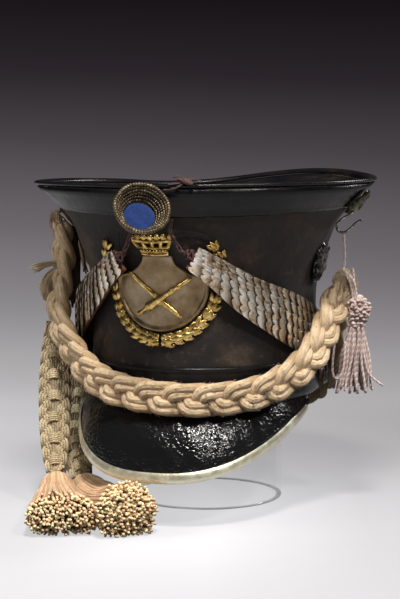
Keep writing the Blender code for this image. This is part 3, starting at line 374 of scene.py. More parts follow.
# Strings that stray from the small tassel: points, radius, pitch, brightness, places about its middle
STRAY_STRINGS = (
    (40, 1.0, 4.0, 1.15, ((6.0, -3.0, 125.0), (9.0, -5.0, 112.0), (12.5, -4.0, 101.0), (22.5, -3.0, 93.0))),
    (50, 1.15, 4.2, 1.2,
     ((-14.0, -9.0, 124.0), (-15.0, -11.0, 104.0), (-11.0, -12.0, 98.0), (-6.5, -11.0, 106.0),
      (-5.5, -9.0, 126.0))),
)
# Thongs: turn, height, stand-off
RIGHT_THONG = (
    (5.5, 223.8, 2.3),
    (5.0, 216.5, 6.2),
    (6.0, 210.0, 7.2),
    (8.0, 204.0, 7.6),
    (9.8, 199.8, 8.2),
    (13.1, 196.5, 7.8),
)
LEFT_THONG = (
    (-9.5, 223.8, 2.3),
    (-12.0, 214.0, 5.0),
    (-14.0, 206.0, 5.5),
    (-15.6, 200.0, 7.0),
    (-18.6, 193.6, 7.8),
)
# Both thongs: label, places, places of the thin string beside it, its points, its radius
THONGS = (
    ("right", RIGHT_THONG,
     ((8.0, 213.0, 2.6), (12.0, 214.5, 3.0), (17.0, 213.0, 2.6), (21.5, 208.5, 1.4)), 30, 0.5),
    ("left", LEFT_THONG, ((-19.0, 212.0, 3.0), (-19.4, 204.0, 4.0), (-18.2, 196.0, 6.0)), 20, 0.4),
)
KNOT_TURN = 11.0
# Loose ends of the rim's knot: reach, drop, lift, thickness
KNOT_ENDS = (
    (12.0, -1.5, 1.4, 0.5),
    (9.0, 2.0, 1.0, 0.5),
    (-9.0, -1.0, 3.6, 0.5),
    (-12.0, -2.5, -1.5, 0.7),
    (-15.0, -4.0, -5.0, 0.7),
    (-10.0, -3.0, -4.0, 0.6),
)
STAND_RADIUS = 60.0
STAND_WALL = 4.0

# Metals: dark, middle and bright colour, roughness, scale of the patches, metallic
METALS = {
    "nickel": ((0.54, 0.51, 0.38), (0.72, 0.69, 0.53), (0.88, 0.85, 0.70), 0.36, 60.0, 0.75),
    "silver": ((0.11, 0.07, 0.035), (0.24, 0.17, 0.095), (0.38, 0.31, 0.22), 0.44, 55.0, 1.0),
    "gilt": ((0.16, 0.09, 0.02), (0.54, 0.36, 0.11), (0.86, 0.68, 0.32), 0.32, 240.0, 1.0),
    # Darker gilt of the plate's crown: partly patina, partly painted shade for its gaps
    "patina_and_shade_gilt": ((0.09, 0.05, 0.012), (0.42, 0.27, 0.07), (0.86, 0.68, 0.32), 0.32, 260.0, 1.0),
    "brass": ((0.02, 0.018, 0.010), (0.11, 0.095, 0.05), (0.45, 0.40, 0.26), 0.30, 220.0, 1.0),
    "bronze": ((0.03, 0.03, 0.027), (0.16, 0.15, 0.135), (0.60, 0.57, 0.50), 0.28, 200.0, 1.0),
}
# Cords: dark and light colour, twists round the cord, twists along it, depth of the twist
CORDS = {
    "dark_cord": ((0.04, 0.024, 0.015), (0.20, 0.12, 0.07), 2.0, 5.0, 0.0003),
    "straw_cord": ((0.15, 0.105, 0.045), (0.82, 0.67, 0.43), 2.0, 4.5, 0.00025),
    "tassel": ((0.40, 0.22, 0.10), (0.96, 0.65, 0.39), 2.0, 4.5, 0.0002),
    "pink_cord": ((0.25, 0.16, 0.145), (0.90, 0.72, 0.67), 2.0, 5.0, 0.0003),
}

# Sweeps of the backdrop: where it starts to rise behind the hat, its radius
NEAR_SWEEP = (500.0, 500.0)
FAR_SWEEP = (2400.0, 900.0)
# Distance behind the hat along the floor and up the near sweep, in metres, and how bright it is there, a
# painted shade that darkens it towards the top
SWEEP_SHADES = (
    (-0.40, 0.90),
    (-0.17, 0.88),
    (-0.04, 0.88),
    (0.03, 0.85),
    (0.11, 0.80),
    (0.20, 0.76),
    (0.30, 0.755),
    (0.475, 0.74),
    (0.655, 0.675),
    (0.86, 0.53),
    (1.02, 0.345),
    (1.125, 0.205),
    (1.23, 0.105),
)
# Colours of the backdrop: shade, colour
BACKDROP_COLOURS = (
    (0.10, (0.0130, 0.0093, 0.0117)),
    (0.20, (0.036, 0.028, 0.035)),
    (0.33, (0.094, 0.081, 0.088)),
    (0.50, (0.222, 0.200, 0.217)),
    (0.63, (0.36, 0.345, 0.362)),
    (0.72, (0.49, 0.476, 0.492)),
    (0.80, (0.61, 0.60, 0.62)),
    (0.88, (0.75, 0.744, 0.768)),
    (0.99, (0.97, 0.965, 0.995)),
)
# Lamps: name, place, height they aim at, size, power, colour, whether polished surfaces mirror them
LAMPS = (
    ("key", (0.24, -0.72, 1.5), 0.13, (0.22, 0.22), 24.0, (1.0, 0.96, 0.90), True),
    ("glint", (0.87, -0.73, 1.18), 0.13, (0.16, 0.16), 10.0, (1.0, 0.97, 0.93), True),
    ("front", (0.05, -1.45, 0.40), 0.13, (0.7, 0.5), 0.9, (1.0, 0.96, 0.92), False),
    ("left", (-1.15, -0.75, 0.75), 0.13, (0.6, 0.8), 7.5, (1.0, 0.98, 0.96), False),
    ("right_back", (0.9, 0.9, 0.9), 0.13, (0.3, 0.5), 13.0, (1.0, 1.0, 1.0), True),
    ("top", (0.0, -0.1, 1.6), 0.0, (1.0, 1.0), 3.5, (1.0, 1.0, 1.0), True),
)


# Camera

def make_camera():
    """Camera at the photograph's place."""
    azimuth = math.radians(CAMERA_AZIMUTH)
    place = Vector((CAMERA_DISTANCE * math.sin(azimuth) + AXIS[0],
                    -CAMERA_DISTANCE * math.cos(azimuth) + AXIS[1], CAMERA_HEIGHT))
    heading = azimuth + math.radians(CAMERA_YAW)
    pitch = math.radians(CAMERA_PITCH)
    forward = Vector((-math.sin(heading) * math.cos(pitch), math.cos(heading) * math.cos(pitch),
                      -math.sin(pitch)))
    data = bpy.data.cameras.new("camera")
    data.lens = CAMERA_LENS
    data.sensor_width = CAMERA_SENSOR
    data.clip_end = 20.0
    camera = bpy.data.objects.new("camera", data)
    camera.location = place
    camera.rotation_euler = forward.to_track_quat('-Z', 'Y').to_euler()
    bpy.context.scene.collection.objects.link(camera)
    bpy.context.scene.camera = camera
    bpy.context.scene.view_settings.view_transform = 'Standard'


# Curves and places

def smooth_value(table, x, column=1):
    """Smooth value of one column of a table whose first column rises."""
    rows = np.asarray(table, float)
    xs, ys = rows[:, 0], rows[:, column]
    slopes = np.gradient(ys, xs)
    x = np.clip(np.asarray(x, float), xs[0], xs[-1])
    i = np.clip(np.searchsorted(xs, x) - 1, 0, len(xs) - 2)
    h = xs[i + 1] - xs[i]
    t = (x - xs[i]) / h
    return (ys[i] * (1 + 2 * t) * (1 - t) ** 2 + h * slopes[i] * t * (1 - t) ** 2
            + ys[i + 1] * t * t * (3 - 2 * t) + h * slopes[i + 1] * t * t * (t - 1))


RIM_ROWS = ([(t - 360.0, h) for t, h in RIM_HEIGHTS[-2:]] + list(RIM_HEIGHTS)
            + [(t + 360.0, h) for t, h in RIM_HEIGHTS[:2]])


def rim_height(turn):
    """Height of the rim's top edge at a turn."""
    return smooth_value(RIM_ROWS, (np.asarray(turn, float) + 180.0) % 360.0 - 180.0)


def half_axes(turn, height):
    """Half width and half depth of the felt; the flare ends at the local rim."""
    top = rim_height(turn)
    height = np.asarray(height, float)
    level = np.where(height > FLARE_START,
                     FLARE_START + (height - FLARE_START) * FLARE_HEIGHT / (top - FLARE_START), height)
    return smooth_value(BODY_SECTIONS, level, 1), smooth_value(BODY_SECTIONS, level, 2)


def on_hat(turn, height, stand_off):
    """Points at a turn, height and stand-off, in arrays of any one shape."""
    turn, height, stand_off = np.broadcast_arrays(
        np.asarray(turn, float), np.asarray(height, float), np.asarray(stand_off, float))
    a, b = half_axes(turn, height)
    angle = np.radians(turn)
    return np.stack([(a + stand_off) * np.sin(angle), -(b + stand_off) * np.cos(angle), height], -1)


def on_table(table):
    """Points on the hat for a table of turns, heights and stand-offs."""
    return on_hat(*np.array(table).T)


def outward(turn):
    """Level unit vectors straight out of the hat."""
    angle = np.radians(np.asarray(turn, float))
    return unit(np.stack([np.sin(angle) / HEAD_HALF_WIDTH, -np.cos(angle) / HEAD_HALF_DEPTH, 0 * angle], -1))


def turns_of(points):
    """Turns of points on the hat."""
    return np.degrees(np.arctan2(points[:, 0], -points[:, 1]))


def on_front(across, height, stand_off):
    """Points on the plate's ground: distance across it, height, stand-off."""
    ground = smooth_value(BODY_SECTIONS, height, 1) + PLATE_STAND_OFF
    return on_hat(PLATE_TURN + np.degrees(np.asarray(across, float) / ground), height, stand_off)


def unit(v):
    """Vectors scaled to length one."""
    return v / np.maximum(np.linalg.norm(v, axis=-1, keepdims=True), 1e-9)


def squared(vectors, ahead):
    """Unit vectors nearest to the given ones and at right angles to ahead."""
    return unit(vectors - ahead * np.sum(vectors * ahead, -1, keepdims=True))


def distances(points):
    """Distance along a row of points from its first to each."""
    return np.concatenate([[0.0], np.cumsum(np.linalg.norm(np.diff(points, axis=0), axis=1))])


def route_length(points):
    """Length of a row of points."""
    return float(np.linalg.norm(np.diff(points, axis=0), axis=1).sum())


def smooth_route(points, count):
    """Evenly spaced points on a smooth curve through the given points."""
    p = np.asarray(points, float)
    padded = np.vstack([p[:1], p, p[-1:]])
    t = np.linspace(0.0, 1.0, 24, endpoint=False)[:, None]
    fine = []
    for i in range(len(p) - 1):
        p0, p1, p2, p3 = padded[i:i + 4]
        fine.append(0.5 * (2 * p1 + (p2 - p0) * t + (2 * p0 - 5 * p1 + 4 * p2 - p3) * t * t
                           + (3 * p1 - p0 - 3 * p2 + p3) * t ** 3))
    fine = np.vstack(fine + [p[-1:]])
    along = distances(fine)
    want = np.linspace(0.0, along[-1], count)
    return np.stack([np.interp(want, along, fine[:, k]) for k in range(3)], -1)


def tangents(points):
    """Unit directions along a row of points."""
    return unit(np.gradient(points, axis=0))


def interpolated(fields, length, place):
    """Rows of evenly spaced fields at places along a route of the given length."""
    count = len(fields[0])
    i = np.clip(np.asarray(place) / length, 0.0, 1.0) * (count - 1)
    low = np.minimum(np.floor(i).astype(int), count - 2)
    t = (i - low)[..., None]
    return [field[low] * (1 - t) + field[low + 1] * t for field in fields]


def winding(path):
    """Two directions across a route, square to each other, for what winds round it."""
    ahead = tangents(path)
    across = unit(np.cross(ahead, (0.3, 0.9, 0.2)))
    return across, np.cross(ahead, across)


def swung(across, other, angle):
    """Directions at an angle between two fields."""
    return across * np.cos(angle)[:, None] + other * np.sin(angle)[:, None]


def ring_angles(count):
    """Angles evenly spread once round."""
    return np.arange(count) * math.tau / count


def ball_points(pole, rows, columns):
    """Rows of points on a unit ball, from near one pole to near the other."""
    polar = np.radians(np.linspace(pole, 180.0 - pole, rows))[:, None]
    around = ring_angles(columns)[None, :]
    level = np.sin(polar)
    return np.stack([level * np.cos(around), level * np.sin(around), np.cos(polar) + 0 * around], -1)


def rough(points, scale, seed=0.0):
    """Smooth noise from -1 to 1 at each point."""
    flat = points.reshape(-1, 3) / scale
    values = [noise.noise(Vector((x + seed, y, z))) for x, y, z in flat]
    return np.array(values).reshape(points.shape[:-1])


# Meshes

class Builder:
    """Collects grids of points, in millimetres about the stand's axis, into one mesh."""

    def __init__(self):
        self.vertices = []
        self.faces = []
        self.uvs = []
        self.tints = []
        self.count = 0

    def grid(self, points, loop_rows=False, loop_columns=False, cap_rows=False, uv=None, tint=1.0):
        """Quads over a grid of rows and columns of points; cap_rows closes the first and last row."""
        rows, columns = points.shape[:2]
        start = self.count
        self.vertices.append(points.reshape(-1, 3))
        self.tints.append(np.broadcast_to(np.asarray(tint, float), (rows, columns)).reshape(-1))
        self.count += rows * columns
        u, v = uv or (np.linspace(0.0, 1.0, columns + 1), np.linspace(0.0, 1.0, rows + 1))
        for i in range(rows if loop_rows else rows - 1):
            low, high = start + i * columns, start + ((i + 1) % rows) * columns
            for j in range(columns if loop_columns else columns - 1):
                k = (j + 1) % columns
                self.faces.append((low + j, low + k, high + k, high + j))
                self.uvs += [(u[j], v[i]), (u[j + 1], v[i]), (u[j + 1], v[i + 1]), (u[j], v[i + 1])]
        if cap_rows:
            for row, order in ((0, -1), (rows - 1, 1)):
                ring = [start + row * columns + j for j in range(columns)][::order]
                self.faces.append(tuple(ring))
                self.uvs += [(u[0], v[min(row, len(v) - 1)])] * columns

    def solid(self, points, tint=1.0):
        """Closed form from rings of points, one after the other."""
        self.grid(points, loop_columns=True, cap_rows=True, tint=tint)

    def tube(self, route, radius, sides=8, tint=1.0, flat=1.0, reference=None, cap=True):
        """Tube along a route; flat is its thickness as a share of its width, along the reference."""
        route = np.asarray(route, float)
        ahead = tangents(route)
        count = len(route)
        if reference is None:
            first = np.cross(ahead[0], (0.31, 0.2, 0.93))
            across = [first / np.linalg.norm(first)]
            for i in range(1, count):
                v = across[-1] - ahead[i] * np.dot(across[-1], ahead[i])
                across.append(v / max(np.linalg.norm(v), 1e-9))
            across = np.array(across)
        else:
            across = squared(reference, ahead)
        other = np.cross(ahead, across)
        angle = ring_angles(sides)
        radius = np.broadcast_to(np.asarray(radius, float), (count,))[:, None, None]
        ring = (across[:, None, :] * np.cos(angle)[None, :, None] * flat
                + other[:, None, :] * np.sin(angle)[None, :, None]) * radius
        uv = (np.linspace(0.0, 1.0, sides + 1), distances(route) / 10.0)
        tint = np.asarray(tint, float)
        if tint.ndim == 1:
            tint = tint[:, None]
        self.grid(route[:, None, :] + ring, loop_columns=True, cap_rows=cap, uv=uv, tint=tint)

    def build(self, name, mat):
        """The collected mesh as one object."""
        places = np.vstack(self.vertices) * MM + AXIS
        mesh = bpy.data.meshes.new(name)
        mesh.from_pydata(places.tolist(), [], self.faces)
        mesh.uv_layers.new(name="UVMap").data.foreach_set("uv", np.asarray(self.uvs, float).ravel())
        colours = np.ones((len(places), 4))
        colours[:, :3] = np.concatenate(self.tints)[:, None]
        mesh.color_attributes.new("tint", 'FLOAT_COLOR', 'POINT').data.foreach_set("color", colours.ravel())
        mesh.materials.append(mat)
        mesh.shade_smooth()
        mesh.update()
        obj = bpy.data.objects.new(name, mesh)
        bpy.context.scene.collection.objects.link(obj)
        return obj

    def dress(self, node, look, name=None):
        """The collected mesh as one object that stands for a CAD node."""
        piece = self.build(name or node + "_look", LOOKS[look])
        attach(piece, "root")
        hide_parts(node)


# Materials

class Look:
    """Principled material with short helpers for its nodes."""

    def __init__(self, name, colour, roughness, metallic=0.0, **sockets):
        self.mat = bpy.data.materials.new(name)
        self.mat.use_nodes = True
        self.tree = self.mat.node_tree
        self.shader = self.tree.nodes["Principled BSDF"]
        self.set("Base Color", (*colour, 1.0))
        self.set("Roughness", roughness)
        self.set("Metallic", metallic)
        for key, value in sockets.items():
            self.set(key.replace("_", " "), value)

    def set(self, socket, value):
        self.shader.inputs[socket].default_value = value

    def link(self, output, node_input):
        self.tree.links.new(output, node_input)

    def node(self, kind, **inputs):
        made = self.tree.nodes.new("ShaderNode" + kind)
        for key, value in inputs.items():
            self.plug(made.inputs[key.replace("_", " ")], value)
        return made

    def plug(self, socket, value):
        if isinstance(value, bpy.types.NodeSocket):
            self.link(value, socket)
        else:
            socket.default_value = value

    def place(self):
        return self.node("TexCoord").outputs["Object"]

    def scaled(self, vector, scale):
        mapping = self.node("Mapping")
        self.link(vector, mapping.inputs["Vector"])
        mapping.inputs["Scale"].default_value = scale
        return mapping.outputs["Vector"]

    def noise(self, vector, scale, detail=4.0, roughness=0.55):
        return self.node("TexNoise", Vector=vector, Scale=scale, Detail=detail,
                         Roughness=roughness).outputs["Fac"]

    def cells(self, vector, scale):
        made = self.node("TexVoronoi", Vector=vector, Scale=scale)
        made.feature = 'DISTANCE_TO_EDGE'
        return made.outputs["Distance"]

    def math(self, operation, a, b=0.0, c=None, clamp=False):
        made = self.tree.nodes.new("ShaderNodeMath")
        made.operation = operation
        made.use_clamp = clamp
        self.plug(made.inputs[0], a)
        self.plug(made.inputs[1], b)
        if c is not None:
            self.plug(made.inputs[2], c)
        return made.outputs[0]

    def ramp(self, value, *stops):
        made = self.node("ValToRGB", Fac=value)
        elements = made.color_ramp.elements
        while len(elements) < len(stops):
            elements.new(0.5)
        for element, (place, colour) in zip(elements, stops):
            element.position = place
            element.color = (colour,) * 3 + (1.0,) if isinstance(colour, float) else (*colour, 1.0)
        return made.outputs["Color"]

    def mix(self, factor, a, b, blend='MIX'):
        made = self.tree.nodes.new("ShaderNodeMix")
        made.data_type = 'RGBA'
        made.blend_type = blend
        self.plug(made.inputs["Factor"], factor)
        for socket, value in ((made.inputs[6], a), (made.inputs[7], b)):
            self.plug(socket, value if isinstance(value, bpy.types.NodeSocket) else (*value, 1.0))
        return made.outputs[2]

    def tint(self):
        made = self.tree.nodes.new("ShaderNodeAttribute")
        made.attribute_name = "tint"
        return made.outputs["Fac"]

    def colour(self, output):
        self.link(output, self.shader.inputs["Base Color"])

    def gloss(self, output):
        self.link(output, self.shader.inputs["Roughness"])

    def bump(self, height, distance, strength=1.0):
        made = self.node("Bump", Height=height, Distance=distance, Strength=strength)
        if self.shader.inputs["Normal"].is_linked:
            before = self.shader.inputs["Normal"].links[0].from_socket
            self.link(before, made.inputs["Normal"])
        self.link(made.outputs["Normal"], self.shader.inputs["Normal"])


def felt_look():
    """Dark felt with brown, worn patches and pale flecks."""
    look = Look("felt", (0.03, 0.024, 0.021), 0.72, Specular_IOR_Level=0.35)
    place = look.place()
    patches = look.noise(place, 20.0, 7.0, 0.68)
    worn = look.noise(place, 95.0, 6.0, 0.72)
    base = look.ramp(patches, (0.40, (0.008, 0.006, 0.006)), (0.51, (0.019, 0.013, 0.010)),
                     (0.62, (0.060, 0.040, 0.030)))
    fleck = look.ramp(worn, (0.58, 0.0), (0.76, 1.0))
    look.colour(look.mix(look.math('MULTIPLY', fleck, 0.5), base, (0.19, 0.14, 0.11)))
    look.bump(look.noise(place, 420.0, 4.0, 0.7), 0.0005, 0.5)
    look.bump(look.noise(place, 60.0, 4.0, 0.6), 0.002, 0.35)
    return look.mat


def band_look(name, gloss, level):
    """Black leather with faint streaks; level is how strongly it mirrors."""
    look = Look(name, (0.012, 0.011, 0.012), gloss, Specular_IOR_Level=level)
    place = look.place()
    streaks = look.noise(look.scaled(place, (1.0, 1.0, 5.0)), 30.0, 5.0, 0.6)
    look.colour(look.ramp(streaks, (0.35, (0.004, 0.004, 0.006)), (0.6, (0.010, 0.009, 0.009)),
                          (0.82, (0.040, 0.034, 0.029))))
    look.gloss(look.ramp(look.noise(place, 70.0, 4.0), (0.3, gloss - 0.10), (0.7, gloss + 0.14)))
    look.bump(look.noise(place, 130.0, 5.0, 0.65), 0.0008, 0.4)
    return look.mat


def peak_look():
    """Glossy black leather with cracks, grain and a little dust."""
    look = Look("peak_leather", (0.003, 0.003, 0.004), 0.2, Specular_IOR_Level=0.42)
    place = look.place()
    wander = look.node("VectorMath")
    wander.operation = 'ADD'
    look.link(place, wander.inputs[0])
    swirl = look.node("TexNoise", Vector=place, Scale=60.0, Detail=4.0)
    softer = look.node("VectorMath")
    softer.operation = 'SCALE'
    look.link(swirl.outputs["Color"], softer.inputs[0])
    softer.inputs["Scale"].default_value = 0.018
    look.link(softer.outputs["Vector"], wander.inputs[1])
    cracks = look.cells(wander.outputs["Vector"], 260.0)
    lines = look.ramp(cracks, (0.0, 0.0), (0.22, 1.0))
    look.bump(lines, 0.0004, 0.35)
    look.bump(look.noise(look.scaled(place, (1.0, 1.0, 2.0)), 300.0, 1.5, 0.5), 0.0008, 0.5)
    look.bump(look.noise(place, 60.0, 3.0, 0.5), 0.002, 0.15)
    dust = look.ramp(look.noise(place, 190.0, 6.0, 0.75), (0.64, 0.0), (0.76, 1.0))
    look.colour(look.mix(look.math('MULTIPLY', dust, 0.10), (0.007, 0.007, 0.008), (0.14, 0.135, 0.13)))
    look.gloss(look.ramp(look.noise(place, 110.0, 4.0, 0.6), (0.40, 0.11), (0.62, 0.22)))
    return look.mat


def metal_look(name, low, middle, high, roughness, scale, metallic):
    """Tarnished metal: three colours from dark to bright."""
    look = Look(name, middle, roughness, metallic)
    place = look.place()
    patches = look.noise(place, scale, 6.0, 0.65)
    metal = look.ramp(patches, (0.30, low), (0.5, middle), (0.68, high))
    # A low tint turns the metal near-black: painted shade in the bosses' hollows
    look.colour(look.mix(look.tint(), tuple(channel * 0.15 for channel in low), metal))
    wear = look.noise(place, scale * 2.0, 4.0)
    look.gloss(look.ramp(wear, (0.3, roughness - 0.08), (0.7, roughness + 0.15)))
    look.bump(look.noise(place, scale * 5.0, 4.0, 0.6), 0.0003, 0.35)
    return look.mat


def scales_look():
    """Bright tarnished metal, with painted shade that turns it brown where one row covers the next."""
    look = Look("scale_metal", (0.6, 0.57, 0.52), 0.32, 0.9)
    place = look.place()
    patches = look.noise(place, 110.0, 6.0, 0.7)
    metal = look.ramp(patches, (0.38, (0.50, 0.34, 0.20)), (0.47, (0.90, 0.74, 0.56)),
                      (0.57, (1.0, 0.95, 0.85)))
    # A low tint mixes in dark brown: painted shade
    look.colour(look.mix(look.tint(), (0.07, 0.045, 0.025), metal))
    look.gloss(look.ramp(look.noise(place, 300.0, 4.0), (0.3, 0.24), (0.7, 0.44)))
    look.bump(look.noise(place, 350.0, 4.0, 0.6), 0.0003, 0.4)
    return look.mat


def cord_look(name, dark, light, twists, pitch, depth, fibre=0.5, weave=(14.0, 2.2, 1.0),
              woolly=False):
    """Cord of twisted or laid strands; the mesh's UV runs round and along each cord."""
    look = Look(name, light, 0.88, Sheen_Weight=0.25, Sheen_Roughness=0.5, Specular_IOR_Level=0.25)
    uv = look.node("TexCoord").outputs["UV"]
    parts = look.node("SeparateXYZ")
    look.link(uv, parts.inputs[0])
    turns = look.math('ADD', look.math('MULTIPLY', parts.outputs["X"], twists * math.tau),
                      look.math('MULTIPLY', parts.outputs["Y"], pitch * math.tau))
    stripe = look.math('MULTIPLY_ADD', look.math('SINE', turns), 0.5, 0.5)
    place = look.place()
    grain = look.noise(look.scaled(uv, weave), 4.0, 5.0, 0.6)
    cloud = look.noise(place, 55.0, 5.0, 0.6)
    tone = look.math('ADD', look.math('MULTIPLY', grain, fibre), look.math('MULTIPLY', cloud, 1.0 - fibre))
    # The tint carries each cord's random tone, and on plaits, tassels and ropes also painted shade and
    # highlight
    tone = look.math('MULTIPLY', tone, look.tint())
    if woolly:
        wool = look.math('MULTIPLY_ADD', look.noise(place, 420.0, 4.0, 0.7), 0.5, 0.75)
        tone = look.math('MULTIPLY', tone, wool)
    palest = tuple(min(1.0, channel * 1.3 + 0.06) for channel in light)
    look.colour(look.ramp(tone, (0.22, dark), (0.62, light), (1.0, palest)))
    look.bump(stripe, depth, 0.9)
    look.bump(look.noise(place, 800.0, 4.0, 0.75) if woolly else grain, 0.0012 if woolly else 0.0004, 0.6)
    return look.mat


def lace_look():
    """Worn gold lace, with painted shade that makes it dark between its beads."""
    look = Look("lace", (0.20, 0.16, 0.10), 0.45, 0.7)
    place = look.place()
    patches = look.noise(place, 260.0, 5.0, 0.7)
    look.colour(look.mix(look.tint(), (0.025, 0.018, 0.010),
                         look.ramp(patches, (0.3, (0.045, 0.03, 0.016)), (0.52, (0.16, 0.115, 0.06)),
                                   (0.7, (0.50, 0.43, 0.31)))))
    look.bump(patches, 0.0005, 0.6)
    return look.mat


def cloth_look():
    """Matt blue cloth."""
    look = Look("blue_cloth", (0.012, 0.04, 0.19), 0.92, Sheen_Weight=0.3, Specular_IOR_Level=0.2)
    place = look.place()
    look.colour(look.ramp(look.noise(place, 300.0, 5.0, 0.6), (0.3, (0.005, 0.018, 0.085)),
                          (0.7, (0.012, 0.038, 0.165))))
    look.bump(look.noise(place, 1400.0, 3.0, 0.7), 0.0004, 0.5)
    return look.mat


def leather_look(name, dark, light):
    """Plain leather of two browns, black where the tint is dark."""
    look = Look(name, light, 0.65, Specular_IOR_Level=0.4)
    place = look.place()
    grain = look.ramp(look.noise(place, 160.0, 5.0, 0.65), (0.35, dark), (0.65, light))
    look.colour(look.mix(look.tint(), (0.004, 0.004, 0.005), grain))
    look.bump(look.noise(place, 500.0, 4.0, 0.65), 0.0006, 0.6)
    return look.mat


def clear_look():
    """Clear plastic: faint from the front, grey at its ends, and paler where it is seen edge on, which is a
    painted reflection.
    """
    look = Look("clear", (0.93, 0.95, 0.96), 0.03, Specular_IOR_Level=0.5)
    # Painted reflection: the tube turns more opaque and white where its surface is seen edge on
    edge = look.node("LayerWeight", Blend=0.25).outputs["Facing"]
    body = look.ramp(edge, (0.0, 0.03), (0.7, 0.08), (0.97, 0.45))
    ends = look.tint()
    look.colour(look.mix(ends, (0.94, 0.95, 0.97), (0.32, 0.32, 0.35)))
    alpha = look.math('ADD', body, look.math('MULTIPLY', ends, 0.45), clamp=True)
    look.link(alpha, look.shader.inputs["Alpha"])
    return look.mat


LOOKS = {
    "felt": felt_look(),
    "top_leather": band_look("top_leather", 0.26, 0.2),
    "lid_leather": band_look("lid_leather", 0.5, 0.04),
    "rim_leather": band_look("rim_leather", 0.24, 0.2),
    "peak_leather": peak_look(),
    "lace": lace_look(),
    "blue_cloth": cloth_look(),
    "strap_leather": leather_look("strap_leather", (0.04, 0.016, 0.012), (0.30, 0.11, 0.075)),
    "scale_metal": scales_look(),
    "braid": cord_look("braid", (0.36, 0.23, 0.11), (0.84, 0.64, 0.42), 9.0, 0.3, 0.0002, 0.45,
                       (6.0, 0.9, 1.0), woolly=True),
    "thong": leather_look("thong", (0.018, 0.008, 0.009), (0.10, 0.045, 0.04)),
    "clear": clear_look(),
}
LOOKS.update({metal: metal_look(metal, *values) for metal, values in METALS.items()})
LOOKS.update({cord: cord_look(cord, *values) for cord, values in CORDS.items()})


# Felt, bands, top

TURNS = np.linspace(-180.0, 180.0, 181)[:-1]


def wall_of_revolution(node, rows, look, dents):
    """Closed wall round the hat; rows(turns) gives a list of point rows, outer then inner."""
    points = np.array(rows(TURNS))
    flat = unit(points * LEVEL)
    points = points + flat * (rough(points, 34.0, 3.0) * dents)[..., None]
    builder = Builder()
    builder.grid(points, loop_rows=True, loop_columns=True)
    builder.dress(node, look)


def make_felt():
    """Flared felt body, dented and wrinkled a little."""
    shares = np.linspace(0.0, 1.0, 34)

    def rows(turns):
        top = rim_height(turns) - FELT_BELOW_RIM
        outer = [on_hat(turns, BASE_HEIGHT + (top - BASE_HEIGHT) * s, 0.0) for s in shares]
        inner = [on_hat(turns, BASE_HEIGHT + (top - BASE_HEIGHT) * s, -FELT_WALL) for s in shares[::-2]]
        return outer + inner
    wall_of_revolution("felt_body", rows, "felt", 0.5)


def make_bands():
    """Upper band with its stitched, ragged lower seam; lower band with a rolled edge."""
    def upper(turns):
        top = rim_height(turns) - FELT_BELOW_RIM + 0.2
        ragged = 0.25 * np.sin(turns * 0.4) + 0.15 * np.sin(turns * 1.1 + 1.0)
        low_edge, high_edge = UPPER_BAND_EDGES
        low = low_edge + (high_edge - low_edge) * np.sin(np.radians(turns)) ** 2 + ragged - 0.5
        return [on_hat(turns, low + (top - low) * share, reach) for share, reach in UPPER_BAND_PROFILE]

    def lower(turns):
        return [on_hat(turns, height, stand_off) for height, stand_off in LOWER_BAND_PROFILE]
    wall_of_revolution("upper_band", upper, "top_leather", 0.25)
    wall_of_revolution("lower_band", lower, "top_leather", 0.4)


def make_rim():
    """Rounded leather binding over the felt's top edge."""
    def rows(turns):
        top = rim_height(turns)
        low = top - FELT_BELOW_RIM + 0.4
        a, b = half_axes(turns, low)
        angle = np.radians(turns)
        seat = np.hypot(a * np.sin(angle), b * np.cos(angle)) - FELT_WALL - 0.8
        heading = np.arctan2(a * np.sin(angle), b * np.cos(angle))
        made = []
        for share, lift in RIM_PROFILE:
            r = seat + (RIM_OUT - seat) * share
            z = low + (top - low) * lift / RIM_TOP_LIFT
            made.append(np.stack([r * np.sin(heading), -r * np.cos(heading), z], -1))
        return made
    wall_of_revolution("rim_binding", rows, "rim_leather", 0.25)


def make_crown_top():
    """Leather top, flat in the middle and rising to the rim."""
    edge_height = rim_height(TURNS) - FELT_BELOW_RIM - CROWN_TOP_WALL - 0.3
    edge = on_hat(TURNS, edge_height, -FELT_WALL - 0.6)
    reach = np.hypot(edge[:, 0], edge[:, 1])
    flat = edge / reach[:, None] * LEVEL

    def row(radius, lift):
        r = np.minimum(radius, reach)
        share = np.maximum(0.0, (r - CROWN_TOP_FLAT) / (reach - CROWN_TOP_FLAT)) ** 2
        points = flat * r[:, None]
        points[:, 2] = CROWN_TOP_HEIGHT + lift + (edge_height - CROWN_TOP_HEIGHT) * share
        if lift:
            points[:, 2] += 0.5 * rough(points, 30.0, 8.0)
        return points
    upper = [row(r, CROWN_TOP_WALL) for r in CROWN_TOP_RINGS]
    lower = [row(r, 0.0) for r in CROWN_TOP_RINGS[::-1]]
    builder = Builder()
    builder.solid(np.array(upper + lower))
    builder.dress("crown_top", "lid_leather")


# Peak

def peak_points(phase, share):
    """Points of the peak's middle surface."""
    phase, share = np.broadcast_arrays(np.asarray(phase, float), np.asarray(share, float))
    c, s = np.cos(phase), np.maximum(np.sin(phase), 0.0)
    reach = s ** PEAK_REACH_POWER
    edge = np.stack([PEAK_HALF_WIDTH * np.sign(c) * np.abs(c) ** PEAK_WIDTH_POWER,
                     PEAK_ROOT_LINE - PEAK_REACH * reach, PEAK_CORNER_HEIGHT - PEAK_DROP * reach], -1)
    corner_turn = math.degrees(math.acos(-PEAK_ROOT_LINE / PEAK_ROOT_DEPTH))
    turn = corner_turn * (1.0 - 2.0 * phase / math.pi)
    root = on_hat(turn, BASE_HEIGHT, 0.0)
    root[..., 2] = BASE_HEIGHT - PEAK_WALL / 2
    bulge = PEAK_BULGE * 4.0 * share * (1.0 - share) * s
    out = outward(turn)
    out[..., 2] = 0.6
    return root + (edge - root) * share[..., None] + out * bulge[..., None]


def peak_phases(count):
    """Phases along the peak, closer together near the corners."""
    share = np.linspace(0.0, 1.0, count)
    return math.pi * share - 0.28 * np.sin(math.tau * share)


